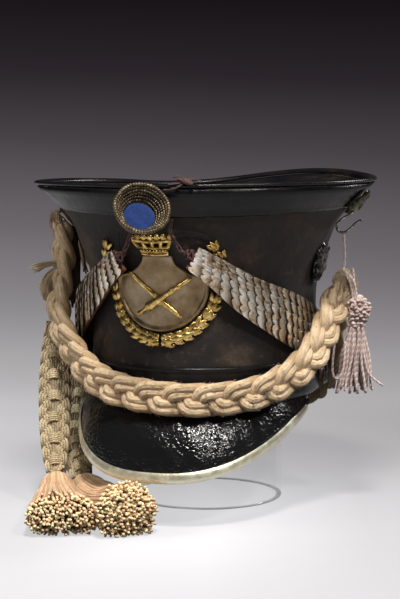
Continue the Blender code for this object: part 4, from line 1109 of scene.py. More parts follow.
def make_peak():
    """Crackled leather peak with a few wrinkles."""
    phases = peak_phases(150)
    shares = np.linspace(0.0, 1.0, 34)
    middle = peak_points(phases[None, :], shares[:, None])
    normal = unit(np.cross(np.gradient(middle, axis=0), np.gradient(middle, axis=1)))
    normal *= np.where(normal[..., 2:3] < 0.0, -1.0, 1.0)
    keep = np.clip(np.minimum(shares, 1.0 - shares) * 8.0, 0.0, 1.0)[:, None]
    wrinkles = 0.7 * rough(middle, 16.0, 5.0) + 0.35 * rough(middle * np.array((1.0, 1.0, 2.5)), 6.0, 9.0)
    top = middle + normal * (PEAK_WALL / 2 + wrinkles * keep)[..., None]
    under = middle - normal * (PEAK_WALL / 2 - wrinkles * keep * 0.5)[..., None]
    builder = Builder()
    builder.grid(np.concatenate([top, under[::-1]], 0), loop_rows=True)
    for side in (0, -1):
        builder.grid(np.stack([top[:, side], under[:, side]], 1))
    builder.dress("peak", "peak_leather")


def make_trim():
    """Metal edging folded over the peak's outer edge."""
    half = PEAK_WALL / 2 + 0.4
    metal = half + 0.8
    lip = TRIM_REACH * 0.6
    fold = [(0.2 + 1.5 * math.cos(a), metal * math.sin(a)) for a in math.pi * (0.5 - np.arange(1, 6) / 6)]
    outline = np.array([(-TRIM_REACH, half), (-TRIM_REACH - 0.2, half + 0.5), (-TRIM_REACH + 0.4, metal),
                        (-3.5, metal + 0.5), (-0.8, metal), *fold,
                        (-0.8, -metal), (-lip, -metal), (-lip, -half), (0.2, -half), (0.2, half)])
    phases = peak_phases(181)[15:-15]
    edge = peak_points(phases, 1.0)
    down = unit(edge - peak_points(phases, 0.75))
    normal = unit(np.cross(down, tangents(edge)))
    normal *= np.where(np.sum(normal * edge, -1, keepdims=True) < 0.0, -1.0, 1.0)
    slant = np.minimum(1.0, np.linalg.norm(edge - peak_points(phases, 0.0), axis=1) / 20.0)
    reach = np.minimum(outline[:, 0], 0.0)[None, :] * slant[:, None] + np.maximum(outline[:, 0], 0.0)
    rows = edge[:, None, :] + down[:, None, :] * reach[..., None] + normal[:, None, :] * outline[None, :, 1:2]
    builder = Builder()
    builder.solid(rows)
    builder.dress("peak_trim", "nickel")


# Plate

def shield_outline(count):
    """Outline of the shield: across and height, from the bottom round by the right."""
    angles = np.radians(np.linspace(-90.0, 0.0, count))
    bowl = np.column_stack([SHIELD_RADIUS * np.cos(angles), PLATE_HEIGHT + SHIELD_RADIUS * np.sin(angles)])
    neck = smooth_route([(across, height, 0.0) for across, height in SHIELD_NECK], 14)[1:, :2]
    half = np.vstack([bowl, neck])
    return np.vstack([half, (half * np.array((-1.0, 1.0)))[::-1][:-1]])


def shield_front(across, height):
    """Stand-off of the shield's domed front."""
    reach = np.hypot(across, height - PLATE_HEIGHT) / SHIELD_RADIUS
    return 0.6 + SHIELD_WALL + SHIELD_DOME * np.maximum(0.0, 1.0 - reach * reach)


def make_shield():
    """Domed shield with a raised rim, dented a little."""
    outline = shield_outline(28)
    centre = np.array((0.0, SHIELD_MIDDLE))
    front = []
    for share, lift in [(share, 0.0) for share in np.linspace(0.02, 0.86, 18)] + list(SHIELD_RIM):
        p = centre + (outline - centre) * share
        fade = np.clip((186.0 - p[:, 1]) / 6.0, 0.15, 1.0)
        dent = 0.35 * rough(np.column_stack([p, np.zeros(len(p))]), 9.0, 2.0)
        front.append(on_front(*p.T, shield_front(*p.T) + lift * fade + dent))
    back = [on_front(*(centre + (outline - centre) * s).T, 0.6) for s in (1.0, 0.5, 0.02)]
    builder = Builder()
    builder.solid(np.array(front + back))
    builder.dress("plate_shield", "silver")


def relief_tube(builder, points, radius, lift, thick=0.7):
    """Raised line on the plate: points are across and height."""
    line = np.array([(x, z, 0.0) for x, z in points])
    p = smooth_route(line, max(8, int(route_length(line) / 0.8)))
    route = on_front(p[:, 0], p[:, 1], lift)
    builder.tube(route, radius, flat=thick, reference=outward(turns_of(route)))


def bead(builder, place, radius, lift):
    """Small ball on the plate."""
    ball = ball_points(8.0, 7, 8)[..., (0, 2, 1)]
    builder.solid(on_front(*place, lift) + ball * radius)


def leaf(builder, root, direction, length, width, lift):
    """Pointed leaf with a raised midrib; root and direction are on the plate's ground."""
    root, direction = np.array(root, float), unit(np.array(direction, float))
    side = np.array((-direction[1], direction[0]))
    along = np.linspace(0.0, 1.0, 9)[:, None]
    across = np.linspace(-1.0, 1.0, 7)[None, :]
    lobes = 1.0 + 0.16 * np.sin(along * 19.0)
    half = width * 0.5 * np.sin(math.pi * along ** 0.8) ** 0.75 * lobes + 0.15
    x, z = (root[k] + direction[k] * length * along + side[k] * half * across for k in (0, 1))
    fold = 0.95 * (1.0 - np.abs(across)) ** 0.7 + 0.9 * np.sin(math.pi * along) + 0.3 * np.cos(across * 9.0)
    top = on_front(x, z, lift + fold)
    under = on_front(x, z, lift - 0.5 + 0 * fold)
    builder.grid(top)
    builder.grid(under[:, ::-1])
    for edge in (0, -1):
        builder.grid(np.stack([top[:, edge], under[:, edge]], 1))
    for edge in (0, -1):
        builder.grid(np.stack([top[edge], under[edge]], 1))


def make_plate_crown():
    """Cast crown: a jewelled band, short posts with holes between, a leafy upper band."""
    builder = Builder()
    base = PLATE_CROWN_BASE
    top = base + 10.2

    def lean(x, z):
        return (x - 1.2 - (3.4 - x * 0.06) * (z - base) / 14.0, z)

    def bar(reach, z, sag, radius, lift, thick=0.7):
        relief_tube(builder, [lean(-reach, z), lean(0.0, z - sag), lean(reach, z)], radius, lift, thick)
    bar(10.4, base + 0.4, 0.7, 1.15, 3.6)
    bar(11.6, base + 5.2, 0.7, 1.15, 3.6)
    bar(10.6, base + 2.8, 0.7, 1.9, 2.8, 0.6)
    for x in np.linspace(-9.6, 9.6, 9):
        bead(builder, lean(x, base + 2.8 - 0.5 * (1 - abs(x) / 9.6)), 1.05, 4.4)
    bar(14.6, top + 0.4, 1.3, 1.7, 3.5)
    for start, end in PLATE_CROWN_POSTS:
        post = [lean(start, base + 5.0), lean((start + end) / 2, base + 7.4), lean(end, top)]
        relief_tube(builder, post, 1.45, 3.5)
    for x in np.linspace(-14.0, 14.0, 7):
        z = top + 0.2 - 0.7 * (1.0 - abs(x) / 14.0)
        leaf(builder, lean(x, z), (x * 0.02 - 0.14, 1.0), 5.4, 4.2, 3.4)
    for x in np.linspace(-11.7, 11.7, 6):
        bead(builder, lean(x, top + 2.0), 1.1, 4.2)
    # The crown's darker gilt is partly painted shade
    builder.dress("plate_crown", "patina_and_shade_gilt")


def make_wreath():
    """Laurel wreath: overlapping pairs of slender lobed leaves with berries, tied at the bottom."""
    builder = Builder()
    place = np.array((0.0, PLATE_HEIGHT - 0.6))
    for side, tip, opening in WREATH_ARMS:
        for i, angle in enumerate(np.linspace(WREATH_START, tip, WREATH_PAIRS)):
            a = math.radians(angle + RANDOM.normal(0.0, 0.8))
            outer = np.array((math.sin(a) * side, math.cos(a)))
            ahead = np.array((-math.cos(a) * side, math.sin(a)))
            # The arms hug the shield below and open a little towards their tips
            open_out = opening * math.exp(-((angle - 63.0) / 18.0) ** 2) - 1.6
            centre = place + (WREATH_RADIUS + open_out) * outer
            size = 1.04 - 0.22 * i / WREATH_PAIRS
            for lean, offset, lift in ((0.62, 0.6, 1.0), (-0.36, -0.9, 1.4), (0.12, 0.0, 2.2)):
                turn = ahead + outer * (lean + RANDOM.normal(0.0, 0.07))
                root = centre - ahead * 4.4 + outer * offset
                leaf(builder, root, turn, 9.6 * size, 4.2 * size, lift + RANDOM.uniform(0.0, 0.5))
            if i % 2:
                bead(builder, centre + outer * 3.2 * size + ahead * 1.2, 0.8, 2.9)
    bottom = PLATE_HEIGHT - WREATH_RADIUS + 1.0
    for side in (-1, 1):
        for lean_x, lean_z in ((0.9, -0.5), (0.25, -1.0), (-0.5, -0.7), (0.8, 0.4), (-0.4, 0.5)):
            leaf(builder, (side * 4.6, bottom), (side * lean_x, lean_z), 5.4, 4.4, 2.0)
        bead(builder, (side * 4.6, bottom), 1.5, 3.4)
        bead(builder, (side * 10.6, bottom - 3.6), 1.1, 2.2)
    builder.dress("plate_wreath", "gilt")


def make_weapons():
    """Crossed sword and gun barrel, cast in relief on the shield."""
    phase = ring_angles(12)
    for node, start, end, form, lift in WEAPONS:
        start, end = np.array(start), np.array(end)
        length = np.linalg.norm(end - start)
        along = (end - start) / length
        side = np.array((-along[1], along[0]))
        rings = []
        for place, half_width, height in form:
            p = start + along * length * place + side * (half_width * np.cos(phase))[:, None]
            ground = shield_front(*p.T) + lift
            rings.append(on_front(*p.T, ground + height * 0.5 * (1.0 + np.sin(phase))))
        builder = Builder()
        builder.solid(np.array(rings))
        builder.dress(node, "gilt")


# Cockade

def cockade_place(r, z, angle):
    """Points in the cockade's own turned frame."""
    axis = unit(np.array(COCKADE_AXIS))
    right = unit(np.cross((0.0, 0.0, 1.0), axis))
    up = np.cross(axis, right)
    r, z, angle = np.broadcast_arrays(r, z, angle)
    middle = np.array(COCKADE_PLACE) + right * COCKADE_SHIFT
    return (middle + axis * z[..., None] + right * (r * np.cos(angle))[..., None]
            + up * (r * np.sin(angle))[..., None])


def make_cockade():
    """Cup of gold lace: beaded coils inside, a plaited lip, a plain cone behind."""
    builder = Builder()
    shell = np.array(COCKADE_SHELL)
    # Cup and shank get a low tint, which paints them dark: painted shade behind and between the coils
    builder.solid(cockade_place(shell[:, 0:1], shell[:, 1:2], ring_angles(48)[None, :]), tint=0.3)
    for radius, depth, thick, beads in COCKADE_RINGS:
        angle = np.linspace(0.0, math.tau, beads * 6 + 1)
        bead_wave = np.abs(np.sin(angle * beads / 2.0))
        worn = 0.75 + 0.35 * np.sin(angle * 2.0 + radius) * np.sin(angle * 5.0 + radius * 3.0)
        route = cockade_place(radius + 0.15 * np.sin(angle * 7.0 + radius), np.full_like(angle, depth), angle)
        # Painted shade: each coil is dark between its beads, where the tint is low
        shade = np.clip((0.10 + 0.80 * bead_wave) * worn + 0.2 * (radius > 19), 0.0, 1.0)
        builder.tube(route, thick * (0.84 + 0.32 * bead_wave), tint=shade, cap=False)
    shank = np.linspace(cockade_place(0.0, -2.0, 0.0), on_hat(-5.5, 231.0, 3.8), 8)
    builder.tube(shank, 3.5, 14, tint=0.25)
    builder.dress("cockade_cup", "lace", name="cockade_look")


def make_cockade_cloth():
    """Cloth disc in the cockade's cup."""
    disc = np.array(COCKADE_DISC)
    points = cockade_place(disc[:, 0:1], disc[:, 1:2], ring_angles(48)[None, :])
    dents = 0.25 * rough(points, 5.0, 1.0)
    points = points - np.array(COCKADE_CLOTH_SINK) + unit(np.array(COCKADE_AXIS)) * dents[..., None]
    builder = Builder()
    builder.solid(points)
    builder.dress("cockade_centre", "blue_cloth", name="cockade_cloth")


# Chin scales

def strap_frames(table, count):
    """Centres, sideways and outward directions and half widths along a strap."""
    rows = np.array(table)
    centres = smooth_route(on_hat(rows[:, 0], rows[:, 1], rows[:, 3]), count)
    ahead = tangents(centres)
    out = squared(outward(turns_of(centres)), ahead)
    side = unit(np.cross(ahead, out))
    side *= np.where(side[:, 2:3] < 0.0, -1.0, 1.0)
    half = np.interp(np.linspace(0.0, len(rows) - 1, count), np.arange(len(rows)), rows[:, 2])
    return centres, side, out, half


def make_strap(label, table):
    """Leather strap under the scales; its lower edge shows."""
    centres, side, out, half = strap_frames(table, 70)
    across = np.linspace(-1.0, 1.0, 13)
    sag = 0.10 * half[:, None] * across[None, :] ** 2
    low = centres[:, None, :] + side[:, None, :] * (half[:, None] * 0.97 * across)[..., None]
    top = low + out[:, None, :] * (STRAP_WALL - sag)[..., None]
    under = low - out[:, None, :] * sag[..., None]
    builder = Builder()
    builder.solid(np.concatenate([top, under[:, ::-1]], 1))
    builder.dress("strap_" + label, "strap_leather")


def make_scales(label, table):
    """Overlapping rows of scalloped scales, each row tilted a little on its own."""
    fine = 400
    centres, side, out, half = strap_frames(table, fine)
    last = int(fine * 0.86)
    pitch = last / SCALE_ROWS
    slant = SCALE_SLANT / (route_length(centres) / fine)
    columns = SCALLOPS * 8 + 1
    across = np.linspace(-1.0, 1.0, columns)
    bulge = np.abs(np.sin(math.pi * (across + 1.0) * 0.5 * SCALLOPS)) ** 0.6
    builder = Builder()
    for k in range(SCALE_ROWS - 1, -1, -1):
        free = last * k / SCALE_ROWS
        tilt = RANDOM.normal(0.0, 0.35)
        lean = RANDOM.normal(0.0, 0.5)
        skew = slant * min(1.0, k / 5.0) + RANDOM.normal(0.0, 0.16) * pitch
        # Tone differs at random from row to row, and painted shade darkens the rows further along the strap
        tone = float(np.clip(RANDOM.normal(0.92 - 0.30 * k / SCALE_ROWS, 0.16), 0.4, 1.0))
        dent = RANDOM.normal(0.0, 0.14, columns)
        top, shades = [], []
        for s in (0.0, 0.07, 0.2, 0.45, 0.75, 1.1, 1.5):
            place = free + pitch * s + (1.0 - bulge) * pitch * 0.30 * max(0.0, 1.0 - s * 1.4)
            i = np.clip(place - skew * across, 0, fine - 1).astype(int)
            lift = STRAP_WALL + 0.9 + 1.3 * math.exp(-s * 1.7) + (tilt + lean * across) * (0.5 - s * 0.35)
            lift += (0.5 * (bulge - 0.4) + dent) * math.exp(-s * 1.4) - 0.10 * half[i] * across ** 2
            top.append(centres[i] + side[i] * (half[i] * across)[:, None] + out[i] * lift[:, None])
            # Painted shade: dark in the dips between the scallops at the free edge and where the next row
            # covers this one
            seen = (0.35 + 0.65 * bulge) if s < 0.1 else 1.0
            covered_shade = 1.0 - 0.95 * max(0.0, s - 0.35)
            shades.append(np.clip(tone * seen * covered_shade, 0.0, 1.0) * np.ones(columns))
        top, shades = np.array(top), np.array(shades)
        under = top - out[int(free)] * 0.6
        builder.grid(top, tint=shades)
        # Painted shade on the undersides and side edges
        builder.grid(under[:, ::-1], tint=shades[:, ::-1] * 0.4)
        builder.grid(np.stack([top[0], under[0]], 0), tint=np.stack([shades[0], shades[0] * 0.4], 0))
        for edge in (0, -1):
            builder.grid(np.stack([top[:, edge], under[:, edge]], 1), tint=shades[:, [edge, edge]] * 0.7)
    builder.dress("scales_" + label, "scale_metal")


# Bosses and hooks

def lion_relief(r, a):
    """Relief of a generic lion mask with its mane, over radius and angle."""
    x, y = r * np.cos(a), r * np.sin(a)
    mane = 0.20 * np.cos(a * 11.0 + 4.0 * r) + 0.12 * np.cos(a * 17.0 - 9.0 * r)
    raised = 0.30 + 0.55 * np.exp(-((r / 0.62) ** 4)) + mane * np.clip((r - 0.45) * 4.0, 0.0, 1.0)
    raised = raised + 0.12 * np.exp(-((r - 0.80) / 0.09) ** 2)
    for across, up, wide, tall, amount in LION_FEATURES:
        raised = raised + amount * np.exp(-(((x - across) / wide) ** 2 + ((y - up) / tall) ** 2))
    return raised


def rosette_relief(r, a):
    """Relief of a rosette with a raised edge, over radius and angle."""
    petals = 0.14 * np.abs(np.cos(a * 4.0)) * np.exp(-((r - 0.55) / 0.2) ** 2)
    return 0.30 + 0.35 * np.exp(-((r / 0.28) ** 4)) + petals + 0.2 * np.exp(-((r - 0.86) / 0.06) ** 2)


# Bosses: name, place (turn, height, radius), stand-off, tilt in degrees, depth of the relief, relief, look
BOSSES = (
    ("ear_boss_", (104.0, 99.5, 11.5), 5.8, 0.0, 4.6, rosette_relief, "bronze"),
    ("lion_boss_", (90.0, 186.5, 16.6), 0.8, 14.0, 4.4, lion_relief, "bronze"),
    ("hook_boss_", (90.0, 232.8, 12.65), 4.3, 45.0, 4.6, lion_relief, "brass"),
)


def make_boss(node, side, place, stand_off, tilt, depth, relief, look):
    """Round boss with a relief, with painted shade that makes it dark in the hollows."""
    turn, height, radius = place
    out = outward(side * turn)
    seat = on_hat(side * turn, height, 0.0) + out * stand_off
    axis = unit(out - np.array((0.0, 0.0, math.tan(math.radians(tilt)))))
    right = unit(np.cross((0.0, 0.0, 1.0), axis))
    up = np.cross(axis, right)
    r = np.linspace(0.02, 1.0, 30)[:, None]
    a = ring_angles(60)[None, :]
    raised = relief(r, a)
    # The relief's rings, then the ring at the seat and a small one that closes the back
    reach = np.vstack([r, (1.0,), (0.02,)]) * radius
    lift = np.vstack([(raised * np.clip((1.02 - r) * 9.0, 0.0, 1.0) + 0.12) * depth, np.zeros((2, 60))])
    # Painted shade: the tint darkens the relief where it is low
    tint = np.vstack([np.clip((raised - 0.25) * 1.6, 0.0, 1.0), np.ones((2, 60))])
    spoke = right * np.cos(a)[..., None] + up * np.sin(a)[..., None]
    builder = Builder()
    builder.solid(seat + spoke * reach[..., None] + axis * lift[..., None], tint=tint)
    builder.dress(node, look)


def make_bosses():
    """Ear bosses, lion-mask bosses, hook bosses and S-hooks at both sides."""
    for label, side in (("right", 1), ("left", -1)):
        for name, *form in BOSSES:
            make_boss(name + label, side, *form)
        builder = Builder()
        builder.tube(smooth_route([(side * r, 0.0, z) for r, z in HOOK_ROUTE], 60), 0.95, 10)
        builder.dress("hook_" + label, "bronze")


# Cords

def hat_frame(path, twist=0.0):
    """Ahead, side and outward directions of a route round the hat; twist turns its sides frontwards."""
    ahead = tangents(path)
    turn = turns_of(path)
    front = twist * np.clip((np.abs(turn) - 45.0) / 20.0, 0.0, 1.0)
    out = squared(outward(turn) + front[:, None] * np.array((0.0, -1.0, 0.0)), ahead)
    side = unit(np.cross(ahead, out))
    side *= np.where(side[:1, 2:3] < 0.0, -1.0, 1.0)
    return path, ahead, side, out


def plait_strands(builder, fields, length, across_at, reach_at, lobe, cords, radius, sides, spacing, relief,
                  contrast, tips=False):
    """Three strands of parallel cords plaited flat along a route; reach_at gives the half width."""
    period = 3.0 * length / max(3, round(length / lobe))
    s = np.linspace(0.0, length, int(length / (lobe / 15.0)))
    taper = np.ones(len(s))
    if tips:
        to_end = np.minimum(s, length - s)
        taper = np.sqrt(1.0 - np.clip(1.0 - to_end / (2.4 * radius), 0.0, 0.98) ** 2)
    routes = []
    for strand in range(3):
        phase = math.tau * (s / period + strand / 3.0)
        place = np.clip(s + period * PLAIT_LEAD * np.sin(2.0 * phase), 0.0, length)
        p, _, d, o = interpolated(fields, length, place)
        swing = np.maximum(reach_at(place) - cords * radius, 0.2 * radius)
        across = across_at(place) + swing * (np.cos(phase) - 0.12 * np.cos(3.0 * phase)) / 0.88
        depth = -radius * relief * np.sin(2.0 * phase)
        centre = p + d * across[:, None] + o * depth[:, None]
        level = unit(np.cross(np.gradient(centre, axis=0), o))
        # Painted shade: a strand is darker where it dips under the others and lighter where it rides over
        # them
        shade = 1.0 - contrast + contrast * np.clip(-np.sin(2.0 * phase) * 1.3, -1.0, 1.0)
        for k in range(cords):
            offset = (k - (cords - 1) / 2.0) * spacing * radius
            roll = 0.10 * radius * np.sin(s * 0.9 / radius + k * 2.0 + strand)
            route = centre + level * (offset * taper[:, None]) + o * roll[:, None]
            builder.tube(route, radius * 1.08 * taper, sides, tint=shade * RANDOM.uniform(0.93, 1.07),
                         reference=o)
            routes.append((route, o, shade))
    return routes


def fuzz(builder, routes, radius, count):
    """Short loose fibres that stand up a little from soft cords."""
    t = np.linspace(0.0, 1.0, 4)
    for _ in range(count):
        route, out, shade = routes[RANDOM.integers(len(routes))]
        i = int(RANDOM.integers(2, len(route) - 3))
        ahead = unit(route[i + 1] - route[i - 1])
        across = np.cross(ahead, out[i])
        angle = RANDOM.uniform(-1.9, 1.9)
        lift = out[i] * math.cos(angle) + across * math.sin(angle)
        drift = across * math.cos(angle) - out[i] * math.sin(angle)
        reach = RANDOM.uniform(1.0, 4.5) * RANDOM.choice((-1.0, 1.0))
        rise = RANDOM.uniform(0.4, 1.4)
        sway = RANDOM.normal(0.0, 1.0)
        line = (route[i] + lift * (radius + rise * t)[:, None] + ahead * (reach * t)[:, None]
                + drift * (sway * t)[:, None])
        builder.tube(line, FIBRE_RADIUS, 3, tint=RANDOM.uniform(0.95, 1.25) * shade[i], cap=False)


def end_loop(builder, routes, frame_row, up, sizes):
    """Rolls that bend over at a plait's end."""
    place, ahead, side, out = frame_row
    angle = np.linspace(0.0, math.pi, 40)
    for wide, tall, lift, drop in sizes:
        legs = np.linspace(-drop, 0.0, 16)[:-1]
        across = np.concatenate([wide + legs * 0.10, wide * np.cos(angle), -wide - legs[::-1] * 0.10])
        along = np.concatenate([legs, tall * np.sin(angle), legs[::-1]]) * up
        sink = lift * (1.0 - 0.9 * np.clip(-along * up / drop, 0.0, 1.0) ** 2)
        route = place + side * across[:, None] + ahead * along[:, None] + out * sink[:, None]
        depth = np.broadcast_to(out, route.shape)
        builder.tube(route, LOOP_RADIUS, 14, tint=1.0 if wide > 5.0 else 0.86, reference=depth)
        routes.append((route, depth, np.ones(len(route))))


def plait(node, table, half_width, twist, fibres, loop_height=None):
    """Flat plait of three strands, each of two thick soft rolls; its ends may bend over in loops."""
    path = smooth_route(on_table(table), 700)
    first, last = 0, 699
    if loop_height is not None:
        first = 8
        last = int(np.argmin(np.abs(path[350:, 2] - loop_height))) + 350
    fields = [field[first:last + 1] for field in hat_frame(path, twist)]
    length = route_length(fields[0])
    radius = half_width * 0.26

    def reach(place):
        ends = np.minimum(place, length - place) / 18.0
        return half_width * np.clip(0.72 + 0.28 * ends, 0.0, 1.0)
    builder = Builder()
    routes = plait_strands(builder, fields, length, np.zeros_like, reach, PLAIT_LOBE, 2, radius, 14,
                           spacing=1.5, relief=0.95, contrast=0.22, tips=True)
    if loop_height is not None:
        for end, up, sizes in END_LOOPS:
            end_loop(builder, routes, [field[end] for field in fields], up, sizes)
    fuzz(builder, routes, radius * 1.05, fibres)
    builder.dress(node, "braid")


def string_bundle(builder, count, spread, fan, thick, tone, places):
    """Loose strings that follow a route through places on the hat and fan out."""
    centre = smooth_route(on_table(places), 16)
    ahead = tangents(centre)
    side = unit(np.cross(ahead, (0.3, -0.9, 0.1)))
    rise = np.cross(side, ahead)
    t = np.linspace(0.0, 1.0, 16)
    for _ in range(count):
        angle = RANDOM.random() * math.tau
        share = RANDOM.random() ** 0.5
        length = RANDOM.uniform(0.78, 1.0)
        wave = 0.4 * np.sin(t * RANDOM.uniform(3.0, 9.0) + angle)
        radius = (spread + fan * t) * share
        p, d, r = interpolated((centre, side, rise), 1.0, t * length)
        route = p + d * (radius * math.cos(angle) + wave)[:, None] + r * (radius * math.sin(angle))[:, None]
        builder.tube(route, thick, 5, tint=RANDOM.uniform(0.85, 1.15) * tone)


def make_loose_strings(node, bundles, look, name):
    """Frayed strings at the left of the front plait; the thick dark bundle among them is partly painted
    shade.
    """
    builder = Builder()
    for bundle in bundles:
        string_bundle(builder, *bundle)
    builder.dress(node, look, name)


def make_oval(node, spine, half_width, pale):
    """Woven oval: a plaited band of fine cords down each side of a wrapped spine."""
    path = smooth_route(spine, 300)
    length = route_length(path)
    ahead = tangents(path)
    out = squared(np.array(OVAL_FACING), ahead)
    fields = (path, ahead, np.cross(ahead, out), out)

    def reach(place):
        share = np.clip(place / length, 0.0, 1.0)
        return half_width * np.maximum(0.62, np.sin(math.pi * (0.06 + 0.88 * share)) ** 0.3)
    builder = Builder()
    for hand in (-1.0, 1.0):
        plait_strands(builder, fields, length, lambda place, h=hand: h * (reach(place) - OVAL_BAND),
                      lambda place: np.full_like(place, OVAL_BAND), 11.5, 3, 0.98, 6,
                      spacing=2.15, relief=1.7, contrast=0.45)
    s = np.linspace(0.0, length, 160)
    p, _, d, o = interpolated(fields, length, s)
    for x in (-2.7, -0.9, 0.9, 2.7):
        depth = 1.6 + 0.5 * np.cos(s * 0.6 + x) - 0.12 * x * x
        builder.tube(p + d * x + o * depth[:, None], 0.95, 6, tint=RANDOM.uniform(0.7, 1.0))
    ball = ball_points(6.0, 8, 12)
    angle = np.linspace(0.0, math.tau, 21)
    for k in range(OVAL_WRAPS):
        base = length * (k + 0.5) / OVAL_WRAPS
        bright = pale if k in (1, 2, 3) else 1.1
        for turn in range(-2, 3):
            p, _, d, o = interpolated(fields, length, np.full_like(angle, base + turn * 1.55))
            swell = 1.0 - 0.05 * abs(turn)
            across, depth = 4.6 * swell * np.cos(angle), 0.4 + 4.4 * swell * np.sin(angle)
            builder.tube(p + d * across[:, None] + o * depth[:, None], 0.8, 6,
                         tint=RANDOM.uniform(0.9, 1.05) * bright, cap=False)
        p, a, d, o = (field[0] for field in interpolated(fields, length, np.array((base, base))))
        core = d * (4.4 * ball[..., 0:1]) + o * (0.4 + 4.2 * ball[..., 1:2]) + a * (4.0 * ball[..., 2:3])
        builder.solid(p + core, tint=0.8 * bright)
    builder.dress(node, "straw_cord")


def packed_disc(step_x, step_y):
    """Points of a hexagonal packing in the unit disc."""
    points = []
    rows = int(2.0 / (step_y * 0.866)) + 2
    columns = int(2.0 / step_x) + 2
    for i in range(-rows, rows + 1):
        for j in range(-columns, columns + 1):
            x = (j + 0.5 * (i % 2)) * step_x
            y = i * step_y * 0.866
            if x * x + y * y <= 1.0:
                points.append((x, y))
    return points


def rope(builder, path, radius, pitch, tone, sides=6):
    """Rope of two strands twisted round each other along a route."""
    across, other = winding(path)
    turn = distances(path) * math.tau / pitch
    for k in (0, 1):
        wind = swung(across, other, turn + k * math.pi)
        # One strand is painted lighter than the other: painted highlight and shade along the twist
        builder.tube(path + wind * radius * 0.5, radius * 0.58, sides, tint=tone * (0.78 + 0.36 * k))


def make_big_tassel(node, start, end, sag, longer, form):
    """Tassel of thick strings that arch from its start and end cut, facing the front."""
    start, end = np.array((*start, 0.0)), np.array((*end, 0.0))
    level = unit(end - start)
    side = np.array((-level[1], level[0], 0.0))
    end = end + level * longer
    half_w, half_h = form[-1][1:3]
    shares = np.concatenate([np.linspace(0.0, 0.93, 14), (0.972, 1.0)])
    tail = np.clip((shares - 0.55) / 0.45, 0.0, 1.0) ** 2
    builder = Builder()
    for a, b in packed_disc(2.0 / half_w, 2.0 / half_h):
        a += RANDOM.normal(0.0, 0.3) / half_w
        b += RANDOM.normal(0.0, 0.3) / half_h
        size = math.hypot(a, b)
        if size > 0.97:
            a, b = a * 0.97 / size, b * 0.97 / size
        # The heap rests on the floor, so its lower half is as wide as its middle
        wide = a if b > 0.0 else a / math.sqrt(1.0 - 0.85 * b * b)
        t = shares * (1.0 + RANDOM.normal(0.0, 0.014) - 0.05 * max(0.0, b) - 0.05 * size ** 4)
        w, h, m = (smooth_value(form, np.minimum(t, 1.0), column) for column in (1, 2, 3))
        bend = RANDOM.normal(0.0, 0.8, 2)
        across = w * (a + (wide - a) * tail) + (bend[0] + sag) * tail
        route = start + (end - start) * t[:, None] + side * across[:, None]
        route[:, 2] = np.maximum(m + h * b + bend[1] * tail, STRING_RADIUS + 0.1)
        # Tone differs at random; the cut ends are painted far brighter than the sides of the strings, a
        # painted highlight
        shade = RANDOM.uniform(0.66, 1.20) * np.where(shares > 0.99, 1.8, np.where(shares > 0.95, 1.1, 1.0))
        builder.tube(route, STRING_RADIUS * RANDOM.uniform(0.92, 1.08), 6, tint=shade)
    builder.dress(node, "tassel")


def tassel_head(builder, line, neck, head):
    """Knotted head of the small tassel."""
    profile = ((neck - 1.5, 6.0), (neck + 2.0, 6.6), (head - 2.0, 7.6), (head + 4.0, 8.2), (head + 8.5, 7.2),
               (head + 11.0, 4.6), (head + 12.5, 2.0))
    angle = ring_angles(24)
    builder.solid(np.array([line(np.full_like(angle, z), r - 1.0, angle) for z, r in profile]), tint=0.6)
    ball = ball_points(8.0, 6, 7) * np.array((1.55, 1.55, 1.3))
    for row, z in enumerate(np.linspace(neck - 1.0, head + 11.5, 10)):
        r = float(smooth_value(profile, z))
        knots = max(6, int(r * 2.5))
        for k in range(knots):
            turn = math.tau * (k + 0.5 * (row % 2)) / knots + RANDOM.normal(0.0, 0.14)
            centre = line(z + RANDOM.normal(0.0, 0.8), r - 0.4 + RANDOM.normal(0.0, 0.35), turn)
            builder.solid(centre + ball * RANDOM.uniform(0.8, 1.2), tint=RANDOM.uniform(0.85, 1.25))


def tassel_skirt(builder, line, neck, hem):
    """Twisted strings that hang from the small tassel's head."""
    count = 46
    t = np.linspace(0.0, 1.0, 60)
    for k in range(count):
        z = neck + (hem - neck) * t * RANDOM.uniform(0.90, 1.05)
        r = (4.8 + 10.6 * t ** 0.8) * math.sqrt((k + 0.5) / count)
        wave = RANDOM.normal(0.0, 1.2, 2)
        middle = line(z, r, k * GOLDEN_TURN)
        middle[:, :2] += wave * (t * t)[:, None]
        middle[:, 0] += 0.9 * np.sin(t * 7.0 + k)
        rope(builder, middle, 1.15, 4.4, RANDOM.uniform(0.85, 1.15), sides=5)


def make_small_tassel():
    """Small tassel: its cord, a knotted head, a skirt and two strings that stray from it."""
    x, y, head = SMALL_TASSEL_PLACE
    top, neck, hem = 181.5, head - 9.0, SMALL_TASSEL_HEM + 2.0
    # The middle line's height and how far it leans to the right
    bend = ((hem, -2.4), (110.0, -1.2), (neck, 1.6), (head + 2.0, 3.2), (head + 13.0, 0.6),
            (head + 18.0, -0.4), (top, -2.4))

    def line(z, r, angle):
        """Points round the tassel's bent middle line."""
        z = np.asarray(z, float)
        middle = smooth_value(bend, z) + x
        return np.stack(np.broadcast_arrays(middle + r * np.cos(angle), y + r * np.sin(angle), z), -1)
    builder = Builder()
    rope(builder, line(np.linspace(top, head + 9.0, 60), 0.0, 0.0), 1.1, 3.4, 1.1)
    tassel_head(builder, line, neck, head)
    tassel_skirt(builder, line, neck, hem)
    for count, radius, pitch, tone, places in STRAY_STRINGS:
        rope(builder, smooth_route(np.array((x, y, 0.0)) + places, count), radius, pitch, tone)
    builder.dress("small_tassel", "pink_cord")


